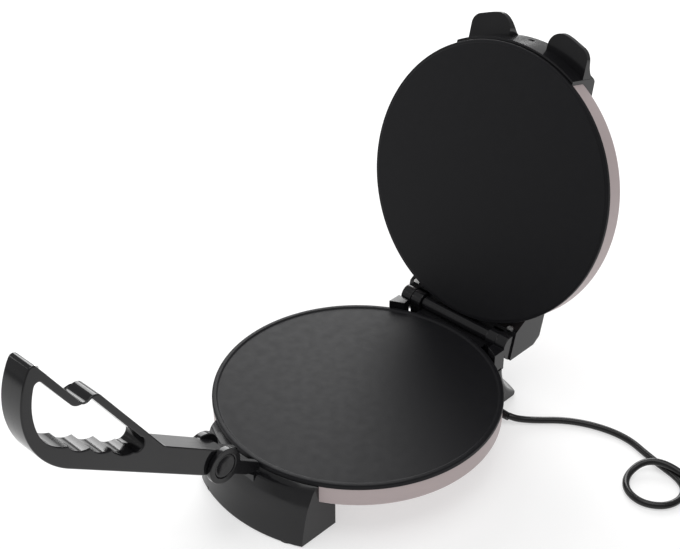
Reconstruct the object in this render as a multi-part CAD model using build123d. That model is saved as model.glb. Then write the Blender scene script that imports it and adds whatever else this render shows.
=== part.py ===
from build123d import *
from math import asin, cos, degrees, hypot, pi, radians, sin, sqrt, tan
import os

# Electric roti maker: two heated round plates in a clamshell, a flared front foot with a yoke
# for a long pressing handle, and a rear foot with the lid's hinge and the mains cord.
# Millimetres. The origin is the centre of the lower plate's cooking face, +Z up, the handle
# at -Y and the lid's hinge at +Y. The lid is drawn closed and then turned open.

# ---- plates ----
cooking_radius = 127.0
rim_width = 5.0
plate_radius = cooking_radius + rim_width
rim_height = 1.2
rim_skirt = 3.5
plate_thickness = 4.0
rim_rounding = 0.5
upper_face_radius = plate_radius - 2.8
upper_edge_step = 0.5
closed_gap = 0.4

# ---- pressed covers ----
band_inset = 0.6
sheet = 1.0
lower_band_height = 17.7
upper_band_height = 16.5
lower_cover_depth = 33.4
lower_floor_radius = plate_radius - 30.0
upper_cover_height = 43.4
shoulder_radius = plate_radius - 11.5
shoulder_height = 37.0
dome_radius = plate_radius - 40.0
cover_corner = 3.0

# ---- stand ----
stand_height = 58.6
pad_proud = 1.0
pad_radius = 8.0
pad_thickness = 3.0
foot_wall = 3.0
floor_wall = 3.0
front_foot_half_width = 63.6
front_foot_top_radius = plate_radius + 7.2
front_foot_sole_radius = plate_radius + 18.6
front_foot_shoulder_z = -4.0
front_foot_bulge = 1.3
front_foot_corner = 4.0
front_foot_rounding = 3.5
foot_inner_y = plate_radius - 36.5
rear_foot_half_width = 66.0
rear_wall_radius = plate_radius + 13.4
rear_sole_radius = rear_wall_radius + 21.6
rear_flare_z = -17.0
front_pad_place = (46.0, plate_radius + 3.0)
rear_pad_place = (50.0, plate_radius + 12.0)
flange_reach = 17.0
flange_thickness = 3.0
flange_half_width = 40.0
flange_screw = (27.0, 8.0)
rib_thickness = 2.0

# ---- lid hinge ----
hinge_y = plate_radius + 8.0
hinge_z = 6.0
open_angle = 104.0
hinge_pin_radius = 2.5
running_gap = 0.05
barrel_radius = 6.4
barrel_half_length = 40.4
post_radius = 9.0
post_gap = 0.6
post_width = 11.3
post_inner_x = barrel_half_length + post_gap
post_outer_x = post_inner_x + post_width
side_gap = 0.4
seat_gap = 0.3
cheek_radius = 9.6
cheek_inset = 1.6
stop_distance = 17.1
stop_gap = 0.4
side_block_y = hinge_y - 10.6
side_block_z = 7.9

# ---- lid brackets ----
lid_bracket_half_width = 65.0
lid_wall_radius = plate_radius + 2.6
lid_wall_foot_z = 5.4
lid_wall_top_z = 41.4
lid_bracket_inner_radius = plate_radius - 28.0
ear_inner_x = 21.0
ear_outer_x = 64.6
ear_radius = plate_radius + 23.5
ear_face_z = 21.4
ear_tip_thickness = 5.0
ear_corner = 9.0
ear_inner_corner = 13.0
rear_bracket_top_z = 51.4
rear_bracket_inner_y = plate_radius - 29.0
rear_bracket_bevel = 7.0
lens_radius = 4.0
lens_spacing = 22.0
lens_y = plate_radius - 10.0

# ---- handle and its yoke ----
pivot_y = -(plate_radius + 42.5)
pivot_z = 28.0
handle_rise = 35.0
handle_sweep = 106.0
arm_half_width = 10.3
arm_half_depth = 11.6
arm_gap = 0.3
yoke_plate = 5.9
disc_radius = 16.4
cap_radius = 11.0
cap_recess = 2.0
cap_depth = 1.2
pivot_pin_radius = 4.0
yoke_bar_half_depth = 6.2
yoke_bar_drop = 35.5
yoke_bar_end_z = 1.2
yoke_web_depth = 20.0
yoke_clear_y = -(plate_radius + 5.4)
trough_gap = 0.8
trough_wall = 3.0
handle_wall = 2.4
strap_slope = 22.0
strap_thickness = 5.9
strap_start = 75.6
strap_step = 12.8
crest_place = 169.6
nose_centre = (165.5, 62.9)
nose_radius = 74.9
nose_thickness = 9.6
nose_tip_angle = 1.6
loop_foot_angle = -50.0
groove_pitch = 22.4
groove_count = 3
groove_height = 5.6
groove_depth = 3.2
groove_start = 175.6
loop_end_radius = 6.3
loop_end_place = (105.6, 11.2)
handle_edge_bevel = 0.8
handle_screw_places = ((60.0, 0.0), (92.0, 0.0), (150.0, -4.6), (219.0, 55.0))
handle_screw_radius = 1.5
handle_boss_radius = 3.4

# ---- heating and controls ----
heater_ring_radius = plate_radius - 44.0
heater_tube_radius = 3.3
heater_gap_angle = 28.0
clamp_width = 10.0
clamp_sheet = 1.2
clamp_reach = 11.0
clamp_gap = 0.15
standoff_radius = 4.0
standoff_ring_radius = 58.0
thermostat_radius = 8.0
thermostat_height = 11.0
terminal_place = (34.0, 66.0)
fuse_radius = 2.2
fuse_length = 13.0
screw_radius = 1.8
screw_head_radius = 3.4
screw_head_height = 1.8

# ---- mains cord ----
cord_radius = 3.2
gland_place = (plate_radius - 19.0, -50.2)
gland_radius = 5.4
coil_centre = (322.0, 121.0)
coil_radius = 33.0
coil_half_width = 6.8
coil_height = 13.2
cord_crossing_lift = 6.8

table_z = -stand_height
sole_z = table_z + pad_proud
rim_top_z = rim_height
upper_face_z = rim_height + closed_gap
upper_rim_z = upper_face_z + 4.7
band_radius = plate_radius - band_inset
lower_band_z = -rim_skirt - lower_band_height
upper_band_z = upper_rim_z + upper_band_height
cord_rest_z = table_z + cord_radius


# ---- helpers ----
def turned(points):
    """A solid of revolution about Z from an (r, z) outline."""
    return revolve(Plane.XZ * make_face(Polyline(*points, close=True)), Axis.Z)


def turned_face(edges):
    """A solid of revolution about Z from edges drawn as (r, z)."""
    return revolve(Plane.XZ * make_face(edges), Axis.Z)


def slab(half_width, y_from, y_to, z_from=-300.0, z_to=300.0):
    """A block that is symmetric in X."""
    size = (2 * half_width, y_to - y_from, z_to - z_from)
    return Pos(0, (y_from + y_to) / 2, (z_from + z_to) / 2) * Box(*size)


def block(x_from, x_to, y_from, y_to, z_from, z_to):
    """A block given by its two corners."""
    middle = Pos((x_from + x_to) / 2, (y_from + y_to) / 2, (z_from + z_to) / 2)
    return middle * Box(x_to - x_from, y_to - y_from, z_to - z_from)


def rod_x(radius, x_from, x_to, y, z):
    """A round bar along X."""
    return Pos((x_from + x_to) / 2, y, z) * Rot(0, 90, 0) * Cylinder(radius, x_to - x_from)


def rod_z(radius, x, y, z_from, z_to):
    """A round bar along Z."""
    return Pos(x, y, (z_from + z_to) / 2) * Cylinder(radius, z_to - z_from)


def side_outline(outline, x_from, x_to):
    """Extrudes a face drawn as (y, z) from one X to another."""
    return Pos(x_from, 0, 0) * extrude(Plane.YZ * outline, x_to - x_from)


def both_sides(shape):
    """A piece and its mirror image across X = 0."""
    return shape + mirror(shape, Plane.YZ)


def opened(shape):
    """Turns a piece of the lid about the hinge from closed to open."""
    return Pos(0, hinge_y, hinge_z) * Rot(-open_angle, 0, 0) * Pos(0, -hinge_y, -hinge_z) * shape


def polar(radius, angle):
    """(x, y) at an angle in degrees from the front, -Y, towards +X."""
    return radius * sin(radians(angle)), -radius * cos(radians(angle))


def write(name, *shapes):
    """One STEP file for each node."""
    solids = [solid for shape in shapes for solid in shape.solids()]
    whole = solids[0] if len(solids) == 1 else Compound(children=solids)
    export_step(whole, f"parts/{name}.step")


# ---- plates and covers ----
def make_lower_plate():
    """Cast cooking plate with a raised rim and a skirt that covers the band's edge."""
    outline = [
        (0, 0),
        (cooking_radius, 0),
        (cooking_radius + rim_height, rim_top_z),
        (plate_radius, rim_top_z),
        (plate_radius, -rim_skirt),
        (band_radius - sheet, -rim_skirt),
        (band_radius - sheet - 1.5, -plate_thickness),
        (0, -plate_thickness),
    ]
    plate = turned(outline)
    rim = plate.edges().filter_by(GeomType.CIRCLE).group_by(Axis.Z)[-1]
    return fillet(rim, rim_rounding)


def make_upper_plate():
    """Flat pressing plate whose edge steps back by a hair from the face."""
    outline = [
        (0, upper_face_z),
        (upper_face_radius, upper_face_z),
        (upper_face_radius, upper_face_z + upper_edge_step),
        (plate_radius, upper_face_z + upper_edge_step),
        (plate_radius, upper_rim_z),
        (band_radius - sheet, upper_rim_z),
        (band_radius - sheet - 1.5, upper_face_z + plate_thickness),
        (0, upper_face_z + plate_thickness),
    ]
    plate = turned(outline)
    edges = plate.edges().filter_by(GeomType.CIRCLE)
    face_edge = edges.group_by(Axis.Z)[0]
    return fillet(face_edge, rim_rounding * 0.8)


def lower_cover_body():
    """The lower cover's outside, filled."""
    body = turned(
        [
            (0, -rim_skirt),
            (band_radius, -rim_skirt),
            (band_radius, lower_band_z),
            (lower_floor_radius, -lower_cover_depth),
            (0, -lower_cover_depth),
        ]
    )
    corners = body.edges().filter_by(GeomType.CIRCLE).group_by(Axis.Z)
    return fillet(corners[0] + corners[1], cover_corner)


def upper_cover_body():
    """The lid cover's outside, filled: band, shoulder and a low dome."""
    body = turned(
        [
            (0, upper_rim_z),
            (band_radius, upper_rim_z),
            (band_radius, upper_band_z),
            (shoulder_radius, shoulder_height),
            (dome_radius, upper_cover_height),
            (0, upper_cover_height),
        ]
    )
    rings = body.edges().filter_by(GeomType.CIRCLE).group_by(Axis.Z)
    body = fillet(rings[-1], 4 * cover_corner)
    rings = body.edges().filter_by(GeomType.CIRCLE).filter_by(
        lambda edge: edge.center().Z > upper_rim_z + 1 and edge.radius > dome_radius + 8
    )
    return fillet(rings, cover_corner)


def shelled(body, open_side):
    """A pressed shell with one flat side open."""
    return offset(body, amount=-sheet, openings=open_side)


# ---- screws ----
def screw(x, y, head_z, tip_z):
    """Pan-head screw driven upwards, with its head's outer face at head_z."""
    head = rod_z(screw_head_radius, x, y, head_z, head_z + screw_head_height)
    return head + rod_z(screw_radius, x, y, head_z + screw_head_height, tip_z)


# ---- front foot ----
def front_foot_profile(shrink=0.0):
    """(r, z) edges of the front foot's flared wall, from the rim to the sole."""
    sole_radius = front_foot_sole_radius - shrink
    top_radius = front_foot_top_radius - shrink
    top_z = front_foot_shoulder_z - shrink
    inner = foot_inner_y - 20
    bottom_z = sole_z + shrink
    middle = ((top_radius + sole_radius) / 2 + front_foot_bulge, (top_z + bottom_z) / 2)
    flank = ThreePointArc((top_radius, top_z), middle, (sole_radius, bottom_z))
    rest = Polyline(
        (sole_radius, bottom_z),
        (inner, bottom_z),
        (inner, top_z),
        (top_radius, top_z),
    )
    return flank + rest


flange_z = -lower_cover_depth
screw_x, screw_inset = flange_screw
flange_screw_y = foot_inner_y - screw_inset


def foot_flange(side):
    """Tab under the cover's flat floor that takes a foot's two screws."""
    near = foot_inner_y - flange_reach
    tab = slab(flange_half_width, near, foot_inner_y + foot_wall, flange_z - flange_thickness, flange_z)
    corners = tab.edges().filter_by(Axis.Z).group_by(Axis.Y)[0]
    tab = fillet(corners, 6.0)
    for x in (-screw_x, screw_x):
        tab = tab - rod_z(screw_radius, x, flange_screw_y, flange_z - 10, flange_z + 1)
    return tab if side > 0 else mirror(tab, Plane.XZ)


def make_front_foot(cover):
    """Flared foot with the yoke that carries the handle."""
    outside = turned_face(front_foot_profile()) & slab(
        front_foot_half_width, -200, -foot_inner_y
    )
    uprights = outside.edges().filter_by(
        lambda edge: abs(abs(edge.center().X) - front_foot_half_width) < 0.1
        and edge.center().Y < -foot_inner_y - 25
    )
    outside = fillet(uprights, front_foot_corner)
    shoulder = outside.edges().group_by(Axis.Z)[-1].filter_by(
        lambda edge: edge.center().Y < -foot_inner_y - 15
    )
    outside = fillet(shoulder, front_foot_rounding)
    inside = turned_face(front_foot_profile(foot_wall)) & slab(
        front_foot_half_width - foot_wall, -200, -foot_inner_y - foot_wall
    )
    shell = outside - inside
    foot = shell + foot_flange(-1) + make_yoke()
    foot = foot - cover
    return foot - pad_pockets(front_pad_place, -1)


def pad_pockets(place, side):
    """Recesses in a sole for its two rubber pads."""
    x, y = place
    return both_sides(rod_z(pad_radius, x, side * y, table_z, table_z + pad_thickness))


def make_yoke():
    """Two ears with round ends, joined to the foot, and the trough that stops the arm."""
    inner_x = arm_half_width + arm_gap
    outer_x = inner_x + yoke_plate
    drop = radians(yoke_bar_drop)
    along = (cos(drop), -sin(drop))
    up = (sin(drop), cos(drop))

    def bar_point(distance, height):
        return (
            pivot_y + distance * along[0] + height * up[0],
            pivot_z + distance * along[1] + height * up[1],
        )

    reach = (yoke_clear_y - pivot_y) / cos(drop)
    corner = bar_point(reach - 4.6, yoke_bar_half_depth)
    low_bend = bar_point(reach - 14.6, -yoke_bar_half_depth)
    web_foot_z = front_foot_shoulder_z - yoke_web_depth
    bar = make_face(
        Polyline(
            bar_point(0, yoke_bar_half_depth),
            corner,
            (yoke_clear_y, corner[1] - 5),
            (yoke_clear_y, yoke_bar_end_z),
            low_bend,
            bar_point(0, -yoke_bar_half_depth),
            close=True,
        )
    )
    disc = Pos(pivot_y, pivot_z) * Circle(disc_radius)
    ear = side_outline(bar + disc, inner_x, outer_x)
    recess = rod_x(cap_radius, outer_x - cap_recess, outer_x + 1, pivot_y, pivot_z)
    bore = rod_x(pivot_pin_radius, inner_x - 1, outer_x + 1, pivot_y, pivot_z)
    ear = ear - recess - bore
    ears = both_sides(ear)

    # The trough joins the ears under the arm's round end. Its front lip is the handle's stop.
    trough_radius = arm_half_depth + trough_gap
    ring = Circle(trough_radius + trough_wall) - Circle(trough_radius)
    lip = handle_rise + 90 - 3
    keep = make_face(
        Polyline(
            (0, 0),
            (60 * cos(radians(lip)), -60 * sin(radians(lip))),
            (60 * cos(radians(90)), -60),
            (60 * cos(radians(66)), -60 * sin(radians(66))),
            close=True,
        )
    )
    trough = side_outline(Pos(pivot_y, pivot_z) * (ring & keep), -inner_x, inner_x)
    web_top = bar_point(trough_radius + 1.0, -yoke_bar_half_depth + 3.4)
    web_far = bar_point(reach, -yoke_bar_half_depth + 3.4)
    web = make_face(
        Polyline(
            web_top,
            (yoke_clear_y, max(web_far[1], yoke_bar_end_z + 3)),
            (yoke_clear_y, web_foot_z),
            (yoke_clear_y - 3.6, web_foot_z),
            (yoke_clear_y - 2.6, front_foot_shoulder_z - 3.5),
            low_bend,
            bar_point(trough_radius + 1.0, -yoke_bar_half_depth),
            close=True,
        )
    )
    web = side_outline(web, -inner_x, inner_x)
    return ears + trough + web


# ---- rear foot ----
def rear_foot_profile(shrink=0.0):
    """(r, z) edges of the rear foot, which flares out to its sole."""
    ledge_z = hinge_z - stop_distance - shrink
    wall = rear_wall_radius - shrink
    sole = rear_sole_radius - shrink
    bottom_z = sole_z + shrink
    flare = ThreePointArc(
        (wall, rear_flare_z),
        (wall + 6.0, (rear_flare_z + bottom_z) / 2),
        (sole, bottom_z + 2.0),
    )
    inner = foot_inner_y - 20
    rest = Polyline(
        (sole, bottom_z + 2.0),
        (sole - 0.6, bottom_z),
        (inner, bottom_z),
        (inner, ledge_z),
        (wall, ledge_z),
        (wall, rear_flare_z),
    )
    return flare + rest


def make_rear_foot(cover):
    """Flared foot with the hinge posts, the stop ledge and the cord's outlet."""
    outside = turned_face(rear_foot_profile()) & slab(
        rear_foot_half_width, foot_inner_y, 200
    )
    inside = turned_face(rear_foot_profile(foot_wall)) & slab(
        rear_foot_half_width - foot_wall, foot_inner_y + foot_wall, 200
    )
    shell = outside - inside
    ledge_z = hinge_z - stop_distance
    side_blocks = both_sides(
        block(post_outer_x + side_gap, rear_foot_half_width, hinge_y - 35, side_block_y, ledge_z - 4, side_block_z)
    )
    bridge = slab(post_outer_x + side_gap, hinge_y - 28, side_block_y + 14, ledge_z - 4, side_block_z - 8)
    bridge = bridge & Cylinder(rear_wall_radius - 1.0, 200)
    trough = rod_x(barrel_radius + 0.9, -post_inner_x, post_inner_x, hinge_y, hinge_z)
    mouth_y = hinge_y - barrel_radius
    trough_mouth = block(-post_inner_x, post_inner_x, mouth_y, 200, ledge_z, 60)
    post_face = make_face(
        Polyline(
            (hinge_y - post_radius, hinge_z),
            (hinge_y - post_radius, ledge_z - 4),
            (hinge_y + 4, ledge_z - 4),
            (hinge_y + post_radius, ledge_z + 5),
            (hinge_y + post_radius, hinge_z),
            close=True,
        )
    ) + Pos(hinge_y, hinge_z) * Circle(post_radius)
    posts = both_sides(side_outline(post_face, post_inner_x, post_outer_x))
    foot = shell + foot_flange(1) + side_blocks + (bridge - trough - trough_mouth)
    foot = foot - both_sides(
        block(post_inner_x - 0.01, post_outer_x + side_gap, side_block_y + 2, 200, ledge_z, 60)
    )
    foot = foot + posts
    ring_clearance = Pos(0, 0, 50) * Cylinder(plate_radius + 0.6, 100 + 2 * rim_skirt)
    foot = foot - ring_clearance - cover
    bore_x = post_outer_x + 1
    foot = foot - rod_x(hinge_pin_radius, -bore_x, bore_x, hinge_y, hinge_z)
    y, z = gland_place
    outlet = rod_x(gland_radius - 1.4, rear_foot_half_width - foot_wall - 1, rear_foot_half_width + 1, y, z)
    return foot - outlet - pad_pockets(rear_pad_place, 1)


# ---- lid brackets ----
def make_lid_front_bracket(cover):
    """Front wall of the lid with two lifting ears that pass beside the yoke."""
    wall = turned_face(
        Polyline(
            (lid_bracket_inner_radius, upper_rim_z),
            (lid_bracket_inner_radius, upper_cover_height + 1.5),
            (shoulder_radius, lid_wall_top_z + 1.0),
            (lid_wall_radius - 3, lid_wall_top_z),
            (lid_wall_radius, lid_wall_top_z - 3),
            (lid_wall_radius, lid_wall_foot_z),
            (plate_radius + seat_gap, lid_wall_foot_z),
            (plate_radius + seat_gap, upper_rim_z),
            close=True,
        )
    )
    wall = wall & slab(lid_bracket_half_width, -200, -80)
    tip_z = ear_face_z + ear_tip_thickness
    curve = ThreePointArc(
        (ear_radius, tip_z),
        (lid_wall_radius + 5.5, ear_face_z + 9.5),
        (lid_wall_radius - 1, lid_wall_top_z - 1.5),
    )
    section = curve + Polyline(
        (lid_wall_radius - 1, lid_wall_top_z - 1.5),
        (lid_wall_radius - 1, ear_face_z),
        (ear_radius, ear_face_z),
        (ear_radius, tip_z),
    )
    plan = make_face(
        Polyline(
            (ear_inner_x, -(lid_wall_radius - 14)),
            (ear_outer_x, -(lid_wall_radius - 34)),
            (ear_outer_x, -sqrt(ear_radius**2 - ear_outer_x**2)),
            close=False,
        )
        + ThreePointArc(
            (ear_outer_x, -sqrt(ear_radius**2 - ear_outer_x**2)),
            polar(ear_radius, degrees(asin((ear_inner_x + ear_outer_x) / 2 / ear_radius))),
            (ear_inner_x, -sqrt(ear_radius**2 - ear_inner_x**2)),
        )
        + Line((ear_inner_x, -sqrt(ear_radius**2 - ear_inner_x**2)), (ear_inner_x, -(lid_wall_radius - 14)))
    )
    tips = plan.vertices().filter_by(lambda corner: corner.Y < -(lid_wall_radius - 10))
    plan = fillet(tips.sort_by(Axis.X)[0], ear_inner_corner)
    tips = plan.vertices().filter_by(lambda corner: corner.Y < -(lid_wall_radius - 10))
    plan = fillet(tips.sort_by(Axis.X)[-1], ear_corner)
    ear = turned_face(section) & extrude(plan, 60)
    bracket = wall + both_sides(ear)
    bracket = bracket - cover
    bore = Pos(0, -lid_wall_radius, 27.4) * Rot(90, 0, 0) * Cylinder(2.6, 4)
    return bracket - bore


def rear_bracket_outline(shrink=0.0):
    """(y, z) outline of the lid's rear bracket. Its back wall lies flat on the stop when open."""
    lean = radians(open_angle - 90)
    stop = stop_distance - stop_gap - shrink
    normal = (cos(lean), sin(lean))
    along = (-sin(lean), cos(lean))
    top = rear_bracket_top_z - shrink
    foot = (hinge_y + stop * normal[0], hinge_z + stop * normal[1])
    climb = (top - rear_bracket_bevel - foot[1]) / along[1]
    back_top = (foot[0] + climb * along[0], top - rear_bracket_bevel)
    return foot, back_top, (back_top[0] - rear_bracket_bevel - 1, top)


def make_lid_rear_bracket(cover, plate):
    """Rear housing of the lid: hinge barrel in the middle, a rounded cheek at each side."""
    foot, back_top, top_back = rear_bracket_outline()
    under_z = side_block_z + 1.0
    body_face = make_face(
        Polyline(
            (rear_bracket_inner_y, rear_bracket_top_z),
            (rear_bracket_inner_y, under_z),
            (hinge_y, under_z),
            foot,
            back_top,
            top_back,
            close=True,
        )
    )
    body = side_outline(body_face, -rear_foot_half_width, rear_foot_half_width)
    cheek_face = make_face(
        Line((hinge_y - cheek_radius, under_z + 2), (hinge_y - cheek_radius, hinge_z))
        + CenterArc((hinge_y, hinge_z), cheek_radius, 180, 90)
        + Spline(
            (hinge_y, hinge_z - cheek_radius),
            (hinge_y + 10.5, hinge_z - 5.5),
            foot,
            tangents=[(1, 0), (-sin(radians(open_angle - 90)), cos(radians(open_angle - 90)))],
        )
        + Polyline(foot, (foot[0] - 1, under_z + 2), (hinge_y - cheek_radius, under_z + 2))
    )
    cheek = side_outline(cheek_face, post_outer_x + side_gap, rear_foot_half_width - cheek_inset)
    barrel_face = Pos(hinge_y, hinge_z) * Circle(barrel_radius) + make_face(
        Polyline(
            (hinge_y - barrel_radius, hinge_z),
            (hinge_y - barrel_radius, under_z + 2),
            (foot[0] - 1, under_z + 2),
            foot,
            (hinge_y + barrel_radius * cos(radians(45)), hinge_z - barrel_radius * sin(radians(45))),
            (hinge_y, hinge_z),
            close=True,
        )
    )
    barrel = side_outline(barrel_face, -barrel_half_length, barrel_half_length)
    bracket = body + both_sides(cheek) + barrel

    # Slots for the base's hinge posts, which swing into the back wall as the lid opens.
    slot_radius = hypot(post_radius, stop_distance + 2) + 0.8
    slot = make_face(
        Polyline(
            (hinge_y - post_radius - 0.8, hinge_z - 30),
            (hinge_y - post_radius - 0.8, hinge_z + post_radius + 0.8),
            (hinge_y + slot_radius, hinge_z + post_radius + 5.0),
            (hinge_y + slot_radius, hinge_z - 30),
            close=True,
        )
    )
    bracket = bracket - both_sides(
        side_outline(slot, barrel_half_length + 0.01, post_outer_x + side_gap)
    )

    inner_foot, inner_back_top, inner_top_back = rear_bracket_outline(foot_wall)
    cavity_low = hinge_z + post_radius + 8.5
    cavity = make_face(
        Polyline(
            (rear_bracket_inner_y + foot_wall, rear_bracket_top_z - foot_wall),
            (rear_bracket_inner_y + foot_wall, cavity_low),
            (inner_foot[0] - 6, cavity_low),
            inner_back_top,
            inner_top_back,
            close=True,
        )
    )
    inner_x = rear_foot_half_width - foot_wall
    bracket = bracket - side_outline(cavity, -inner_x, inner_x)
    ring_clearance = Pos(0, 0, 25) * Cylinder(plate_radius + 0.01, 50)
    low_ring = ring_clearance & slab(200, -200, 200, upper_face_z - 1, upper_rim_z)
    bracket = bracket - cover - low_ring
    bore_x = rear_foot_half_width + 1
    bracket = bracket - rod_x(
        hinge_pin_radius + running_gap, -bore_x, bore_x, hinge_y, hinge_z
    )
    for x, y in lid_screw_places:
        bracket = bracket - rod_z(screw_head_radius, x, y, 0, lid_screw_z + screw_head_height)
        bracket = bracket - rod_z(screw_radius, x, y, 0, lid_screw_z + 9)
    for side in (-1, 1):
        seat = rod_z(lens_radius, side * lens_spacing / 2, lens_y, rear_bracket_top_z - foot_wall - 1, rear_bracket_top_z + 1)
        bracket = bracket - seat
    return bracket


lid_screw_places = [(side * 58.0, hinge_y - 13.5) for side in (-1, 1)]
lid_screw_z = side_block_z + 1.0


def make_lenses():
    """Two round lamp lenses in the rear bracket's top."""
    shapes = []
    for side in (-1, 1):
        low = rear_bracket_top_z - foot_wall
        lens = rod_z(lens_radius, side * lens_spacing / 2, lens_y, low, rear_bracket_top_z + 0.8)
        shapes.append(fillet(lens.edges().group_by(Axis.Z)[-1], 0.7))
    return shapes


# ---- handle ----
rise = radians(handle_rise)
arm_plane = Plane(
    origin=(0, pivot_y, pivot_z), x_dir=(0, -cos(rise), sin(rise)), z_dir=(-1, 0, 0)
)


def strap_height(place, lifted):
    """Height of the strap's outer line above the arm's axis, before and after the thumb rest."""
    line = arm_half_depth + (place - strap_start) * tan(radians(strap_slope))
    return line if lifted else line - strap_step / cos(radians(strap_slope))


def handle_outline():
    """Outside of the handle: arm, nose, strap and the thumb rest."""
    nose_x, nose_y = nose_centre
    tip_angle = radians(nose_tip_angle)
    tip = (nose_x + nose_radius * cos(tip_angle), nose_y + nose_radius * sin(tip_angle))
    dip = (crest_place + 7.2, strap_height(crest_place + 7.2, False))
    crest = (crest_place + 1.2, strap_height(crest_place + 1.2, True))
    strap_foot = (strap_start, arm_half_depth)
    nose_foot = (nose_x, nose_y - nose_radius)
    nose_mid = (nose_x + nose_radius * cos(radians(-44)), nose_y + nose_radius * sin(radians(-44)))
    face = make_face(
        Polyline((0, -arm_half_depth), nose_foot)
        + ThreePointArc(nose_foot, nose_mid, tip)
        + Polyline(tip, dip, crest, strap_foot, (0, arm_half_depth))
        + ThreePointArc((0, arm_half_depth), (-arm_half_depth, 0), (0, -arm_half_depth))
    )
    for corner, radius in ((tip, 3.4), (dip, 5.4), (crest, 8.0), (strap_foot, 12.0)):
        face = rounded(face, corner, radius)
    return face


def rounded(face, corner, radius):
    """Rounds the corner of a flat face that is nearest to a place."""
    nearest = face.vertices().sort_by_distance(Vector(*corner))[0]
    return fillet(nearest, radius)


def loop_outline():
    """The hand opening: a wavy finger rail below, the strap above."""
    inner = nose_radius - nose_thickness
    nose_x, nose_y = nose_centre
    strap_down = strap_thickness / cos(radians(strap_slope))

    def under(place, lifted):
        return (place, strap_height(place, lifted) - strap_down)

    def on_nose(angle):
        return (nose_x + inner * cos(radians(angle)), nose_y + inner * sin(radians(angle)))

    slope = tan(radians(strap_slope))
    base = under(0, False)[1] - nose_y
    reach = 1 + slope**2
    middle = nose_x - slope * base
    far = (middle + sqrt(middle**2 - reach * (nose_x**2 + base**2 - inner**2))) / reach
    corner = under(far, False)
    rail_start = on_nose(loop_foot_angle)
    dip = under(crest_place + 13.4, False)
    crest = under(crest_place + 2.8, True)
    end_x, end_y = loop_end_place
    end_top = under(end_x + 0.5, True)
    last = (end_x + 1.5, end_y - loop_end_radius)
    rail = [(groove_start - index * groove_pitch, groove_height) for index in range(groove_count)]
    first_mid = ((rail_start[0] + rail[0][0]) / 2 - 2.5, groove_height - 0.7)
    edges = [
        ThreePointArc(corner, on_nose(loop_foot_angle * 0.6), rail_start),
        ThreePointArc(rail_start, first_mid, rail[0]),
    ]
    for start, end in zip(rail, rail[1:] + [last]):
        middle = ((start[0] + end[0]) / 2, min(start[1], end[1]) - groove_depth)
        edges.append(ThreePointArc(start, middle, end))
    edges.append(ThreePointArc(last, (end_x - loop_end_radius, end_y + 0.5), end_top))
    edges.append(Polyline(end_top, crest, dip, corner))
    face = make_face(edges)
    for place, radius in ((corner, 4.6), (dip, 10.0), (crest, 5.0)):
        face = rounded(face, place, radius)
    return face


def bevelled_half(outline, loop, side):
    """One half's block, with its outer corners and the opening's corners bevelled."""
    around = extrude(outline, side * arm_half_width)
    end = around.faces().sort_by(Axis.Z)[-1 if side > 0 else 0]
    around = chamfer(end.outer_wire().edges(), handle_edge_bevel)
    box = outline.bounding_box()
    sheet_face = Pos(box.center().X, box.center().Y) * Rectangle(box.size.X + 40, box.size.Y + 40)
    opening = extrude(sheet_face - loop, side * arm_half_width)
    end = opening.faces().sort_by(Axis.Z)[-1 if side > 0 else 0]
    opening = chamfer(end.inner_wires()[0].edges(), handle_edge_bevel)
    return around & opening


def make_handle():
    """Two mirrored mouldings that meet on the middle plane."""
    outline = handle_outline()
    loop = loop_outline()
    core = offset(outline, -handle_wall) - offset(loop, handle_wall)
    bore = Circle(pivot_pin_radius + running_gap)
    hub = Circle(pivot_pin_radius + 3.0)
    bosses = [Pos(u, v) * Circle(handle_boss_radius) for u, v in handle_screw_places]
    ribs = [
        Pos(u, 0) * Rectangle(rib_thickness, 2 * arm_half_depth)
        for u in (22.0, 38.0, 78.0)
    ]
    for extra in [hub] + bosses + ribs:
        core = core - extra
    halves = []
    for side in (-1, 1):
        half = bevelled_half(outline, loop, side)
        half = half - extrude(core, side * (arm_half_width - handle_wall))
        half = half - extrude(bore, side * (arm_half_width + 1))
        for u, v in handle_screw_places:
            half = half - Pos(u, v) * extrude(Circle(handle_screw_radius), side * 7.0)
            if side > 0:
                half = half - Pos(u, v, 4.0) * extrude(Circle(2.8), 10.0)
        halves.append(arm_plane * half)
    return halves


def make_handle_screws():
    """Screws that hold the handle's halves together, from the far side."""
    screws = []
    for u, v in handle_screw_places:
        shank = extrude(Pos(u, v, -6.9) * Circle(handle_screw_radius), 10.9)
        head = extrude(Pos(u, v, 4.0) * Circle(2.7), 1.6)
        screws.append(arm_plane * (shank + head))
    return screws


foot_screw_places = [(x, y) for x in (-screw_x, screw_x) for y in (-flange_screw_y, flange_screw_y)]


# ---- heating parts ----
def make_heater(z, gap_centre):
    """Sheathed heating tube, bent to an open ring, with a cold pin at each end."""
    sweep_angle = 360 - heater_gap_angle
    section = Plane.XZ * Pos(heater_ring_radius, z) * Circle(heater_tube_radius)
    ring = revolve(section, Axis.Z, sweep_angle)
    start_turn = gap_centre + heater_gap_angle / 2
    ring = Rot(0, 0, start_turn) * ring
    tips = []
    for angle, direction in ((start_turn, -1), (start_turn + sweep_angle, 1)):
        x = heater_ring_radius * cos(radians(angle))
        y = heater_ring_radius * sin(radians(angle))
        heading = Vector(-sin(radians(angle)), cos(radians(angle))) * direction
        pin = Plane(origin=(x, y, z), z_dir=heading) * Pos(0, 0, 6) * Cylinder(1.6, 12)
        tips.append(pin)
    return ring + tips[0] + tips[1]


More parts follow.
